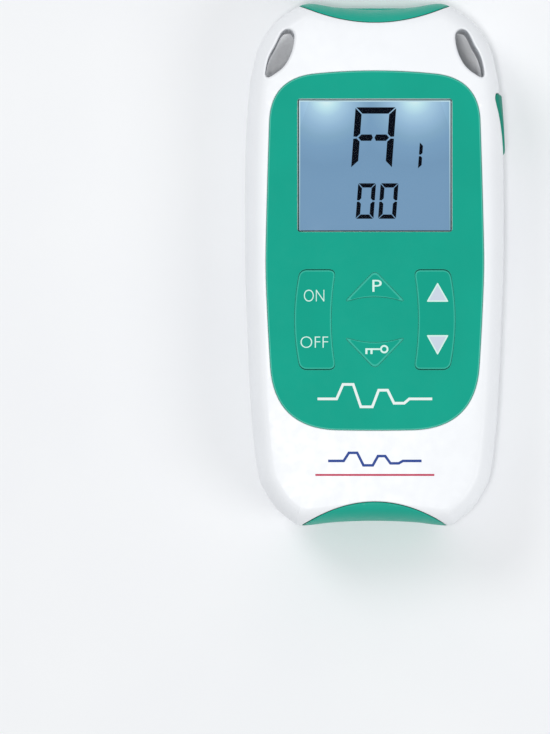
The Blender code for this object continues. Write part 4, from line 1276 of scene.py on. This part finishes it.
def segments(width, height, across, along, gap, wanted):
    """Lit segments of a seven-segment digit round its middle: a to g, with g in two halves."""
    x = width / 2
    y = height / 2
    g = gap / 2
    half = across / 2
    shapes = {
        "a": ((-x + g, y), (-x + g + along, y - across), (x - g - along, y - across), (x - g, y)),
        "d": ((-x + g, -y), (x - g, -y), (x - g - along, -y + across), (-x + g + along, -y + across)),
        "f": ((-x, y - g), (-x, g * 1.5), (-x + along / 2, g), (-x + along, half + g),
              (-x + along, y - across - g)),
        "e": ((-x, -y + g), (-x + along, -y + across + g), (-x + along, -half - g), (-x + along / 2, -g),
              (-x, -g * 1.5)),
        "g1": ((-x + along * 0.75, 0), (-x + along * 1.2, -half), (-g - half * 0.5, -half), (-g, 0),
               (-g - half * 0.5, half), (-x + along * 1.2, half)),
    }
    for name, other in (("b", "f"), ("c", "e"), ("g2", "g1")):
        shapes[name] = mirrored(shapes[other])
    return [shapes[name] for name in wanted.split()]


DIGIT_SLANT = math.tan(math.radians(4.2))


def make_digits():
    z = GLASS_HIGH.z + 0.03
    digits = (
        ("mode_letter", -0.25, 29.93, 9.6, 14.3, 1.5, 1.56, 0.36, "a b c e f g1 g2"),
        ("small_one", 10.8, 25.75, 0.8, 6.4, 0.8, 0.8, 0.3, "f e"),
        ("left_zero", -2.1, 15.0, 4.2, 8.35, 1.0, 0.98, 0.26, "a b c d e f"),
        ("right_zero", 3.19, 15.0, 4.2, 8.35, 1.0, 0.98, 0.26, "a b c d e f"),
    )
    for name, x, y, *sizes in digits:
        surface = Surface()
        for shape in segments(*sizes):
            surface.flat([[(x + px + py * DIGIT_SLANT, y + py) for px, py in shape]], z, z + 0.02)
        place(surface.build(name), "case", [digit_ink])


# ---------------------------------------------------------------- sockets and screws

def make_sockets():
    for side_name, x, outer, inner_y, outer_y in socket_places():
        node = f"lead_socket_{side_name}"
        centre = (x, inner_y, SPLIT_Z)
        length = outer_y - inner_y
        barrel = (
            (outer - 0.3, 0), (outer, 0.3), (outer, length - 0.3), (outer - 0.3, length), (2.55, length),
            (2.5, length - 0.1), (2.5, 1.9), (2.3, 1.6), (1.2, 1.6), (1.0, 1.8), (1.0, 2.6), (0.8, 2.7))
        place(turned(f"{node}_barrel", barrel, centre, "Y"), "case", [black_abs], [node])
        pin = ((0.78, 1.4), (0.8, 2.0), (0.8, length - 2.2), (0.55, length - 1.7), (0.2, length - 1.5))
        place(turned(f"{node}_pin", pin, centre, "Y", 24), "case", [steel])
        ring = ((2.48, length - 4.4), (2.48, length - 0.6), (2.2, length - 0.9), (2.2, length - 4.4))
        place(turned(f"{node}_contact", ring, centre, "Y", hollow=True), "case", [steel])


THREAD = 0.5             # pitch of the screws


def make_screws():
    for name, x, y in screw_places():
        node = f"case_screw_{name}"
        low, high = cad_box(node)
        radius = (high.x - low.x) / 2
        profile = [(radius - 0.9, 0.0), (radius - 0.35, 0.12), (radius - 0.08, 0.4), (radius, 0.8),
                   (radius, 1.6), (radius - 0.1, 1.7), (1.25, 1.7)]
        length = high.z - low.z
        for i in range(int((length - 3.2) / THREAD)):
            start = 2.2 + THREAD * i
            profile += [(1.02, start), (1.25, start + 0.22), (1.25, start + 0.28)]
        profile += [(1.0, length - 0.6), (0.5, length)]
        screw = turned(f"{node}_fine", profile, (x, y, low.z), "Z", 32)
        tools = []
        for way, half_x, half_y in (("long", 1.45, 0.3), ("cross", 0.3, 1.45)):
            tools.append(box(f"{way}_{name}", (x - half_x, y - half_y, low.z - 1.0),
                             (x + half_x, y + half_y, low.z + 0.9)))
        dimple = ((0.75, -1.0), (0.75, 0.0), (0.1, 1.2))
        tools.append(turned(f"dimple_{name}", dimple, (x, y, low.z), "Z", 16))
        carve(screw, tools)
        place(screw, "case", [steel], [node])


# ---------------------------------------------------------------- scene

FLOOR_REACH = 900.0
CAMERA_HEIGHT = 1500.0      # over the face
FRAME_HEIGHT = 172.7        # of the picture, at the face


def make_floor():
    floor = box("floor", (-FLOOR_REACH, -FLOOR_REACH, -2.0), (FLOOR_REACH, FLOOR_REACH, -0.02))
    look = Look("pale_sweep", 0.7, specular=0.1)
    stops = ((0.3, srgb(247, 248, 250)), (0.7, srgb(250, 251, 252)))
    look.set("Base Color", look.ramp(look.noise(60.0), stops))
    floor.data.materials.append(look.material)


def area_light(name, place_mm, size_mm, power):
    data = bpy.data.lights.new(name, "AREA")
    data.shape = "DISK"
    data.size = size_mm * MM
    data.energy = power
    light = new_object(name, data)
    light.location = Vector(place_mm) * MM
    light.rotation_euler = (-light.location).to_track_quat("-Z", "Y").to_euler()


def make_lights():
    area_light("top_light", (-70, -60, 1300), 110, 3.5)
    area_light("key_light", (-520, 560, 800), 420, 2.3)
    area_light("fill_light", (600, -300, 700), 500, 1.8)
    world = bpy.data.worlds.new("studio")
    world.use_nodes = True
    background = world.node_tree.nodes["Background"]
    background.inputs["Color"].default_value = (0.97, 0.985, 1.0, 1.0)
    background.inputs["Strength"].default_value = 0.5
    bpy.context.scene.world = world


def make_camera():
    data = bpy.data.cameras.new("camera")
    data.lens = data.sensor_width * CAMERA_HEIGHT / FRAME_HEIGHT
    data.clip_start = 0.01
    data.clip_end = 10.0
    camera = new_object("camera", data)
    camera.location = Vector((-23.5, -24.1, FACE_Z + CAMERA_HEIGHT)) * MM
    bpy.context.scene.camera = camera


def dress_cad_nodes():
    for node, look in CAD_LOOKS.items():
        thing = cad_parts[node]
        thing.data.materials.clear()
        thing.data.materials.append(look)


make_front_shell()
make_rear_shell()
make_end_cap("top_end_cap", TOP_CAP, 1, None)
make_end_cap("bottom_end_cap", BOTTOM_CAP, -1, cad_box("bottom_end_cap")[0].z)
make_boost_button()
make_door()
make_fascia()
make_window()
make_keys()
make_key_marks()
make_plain_marks()
make_digits()
make_sockets()
make_screws()
dress_cad_nodes()
make_floor()
make_lights()
make_camera()
bpy.context.scene.view_settings.view_transform = "Standard"
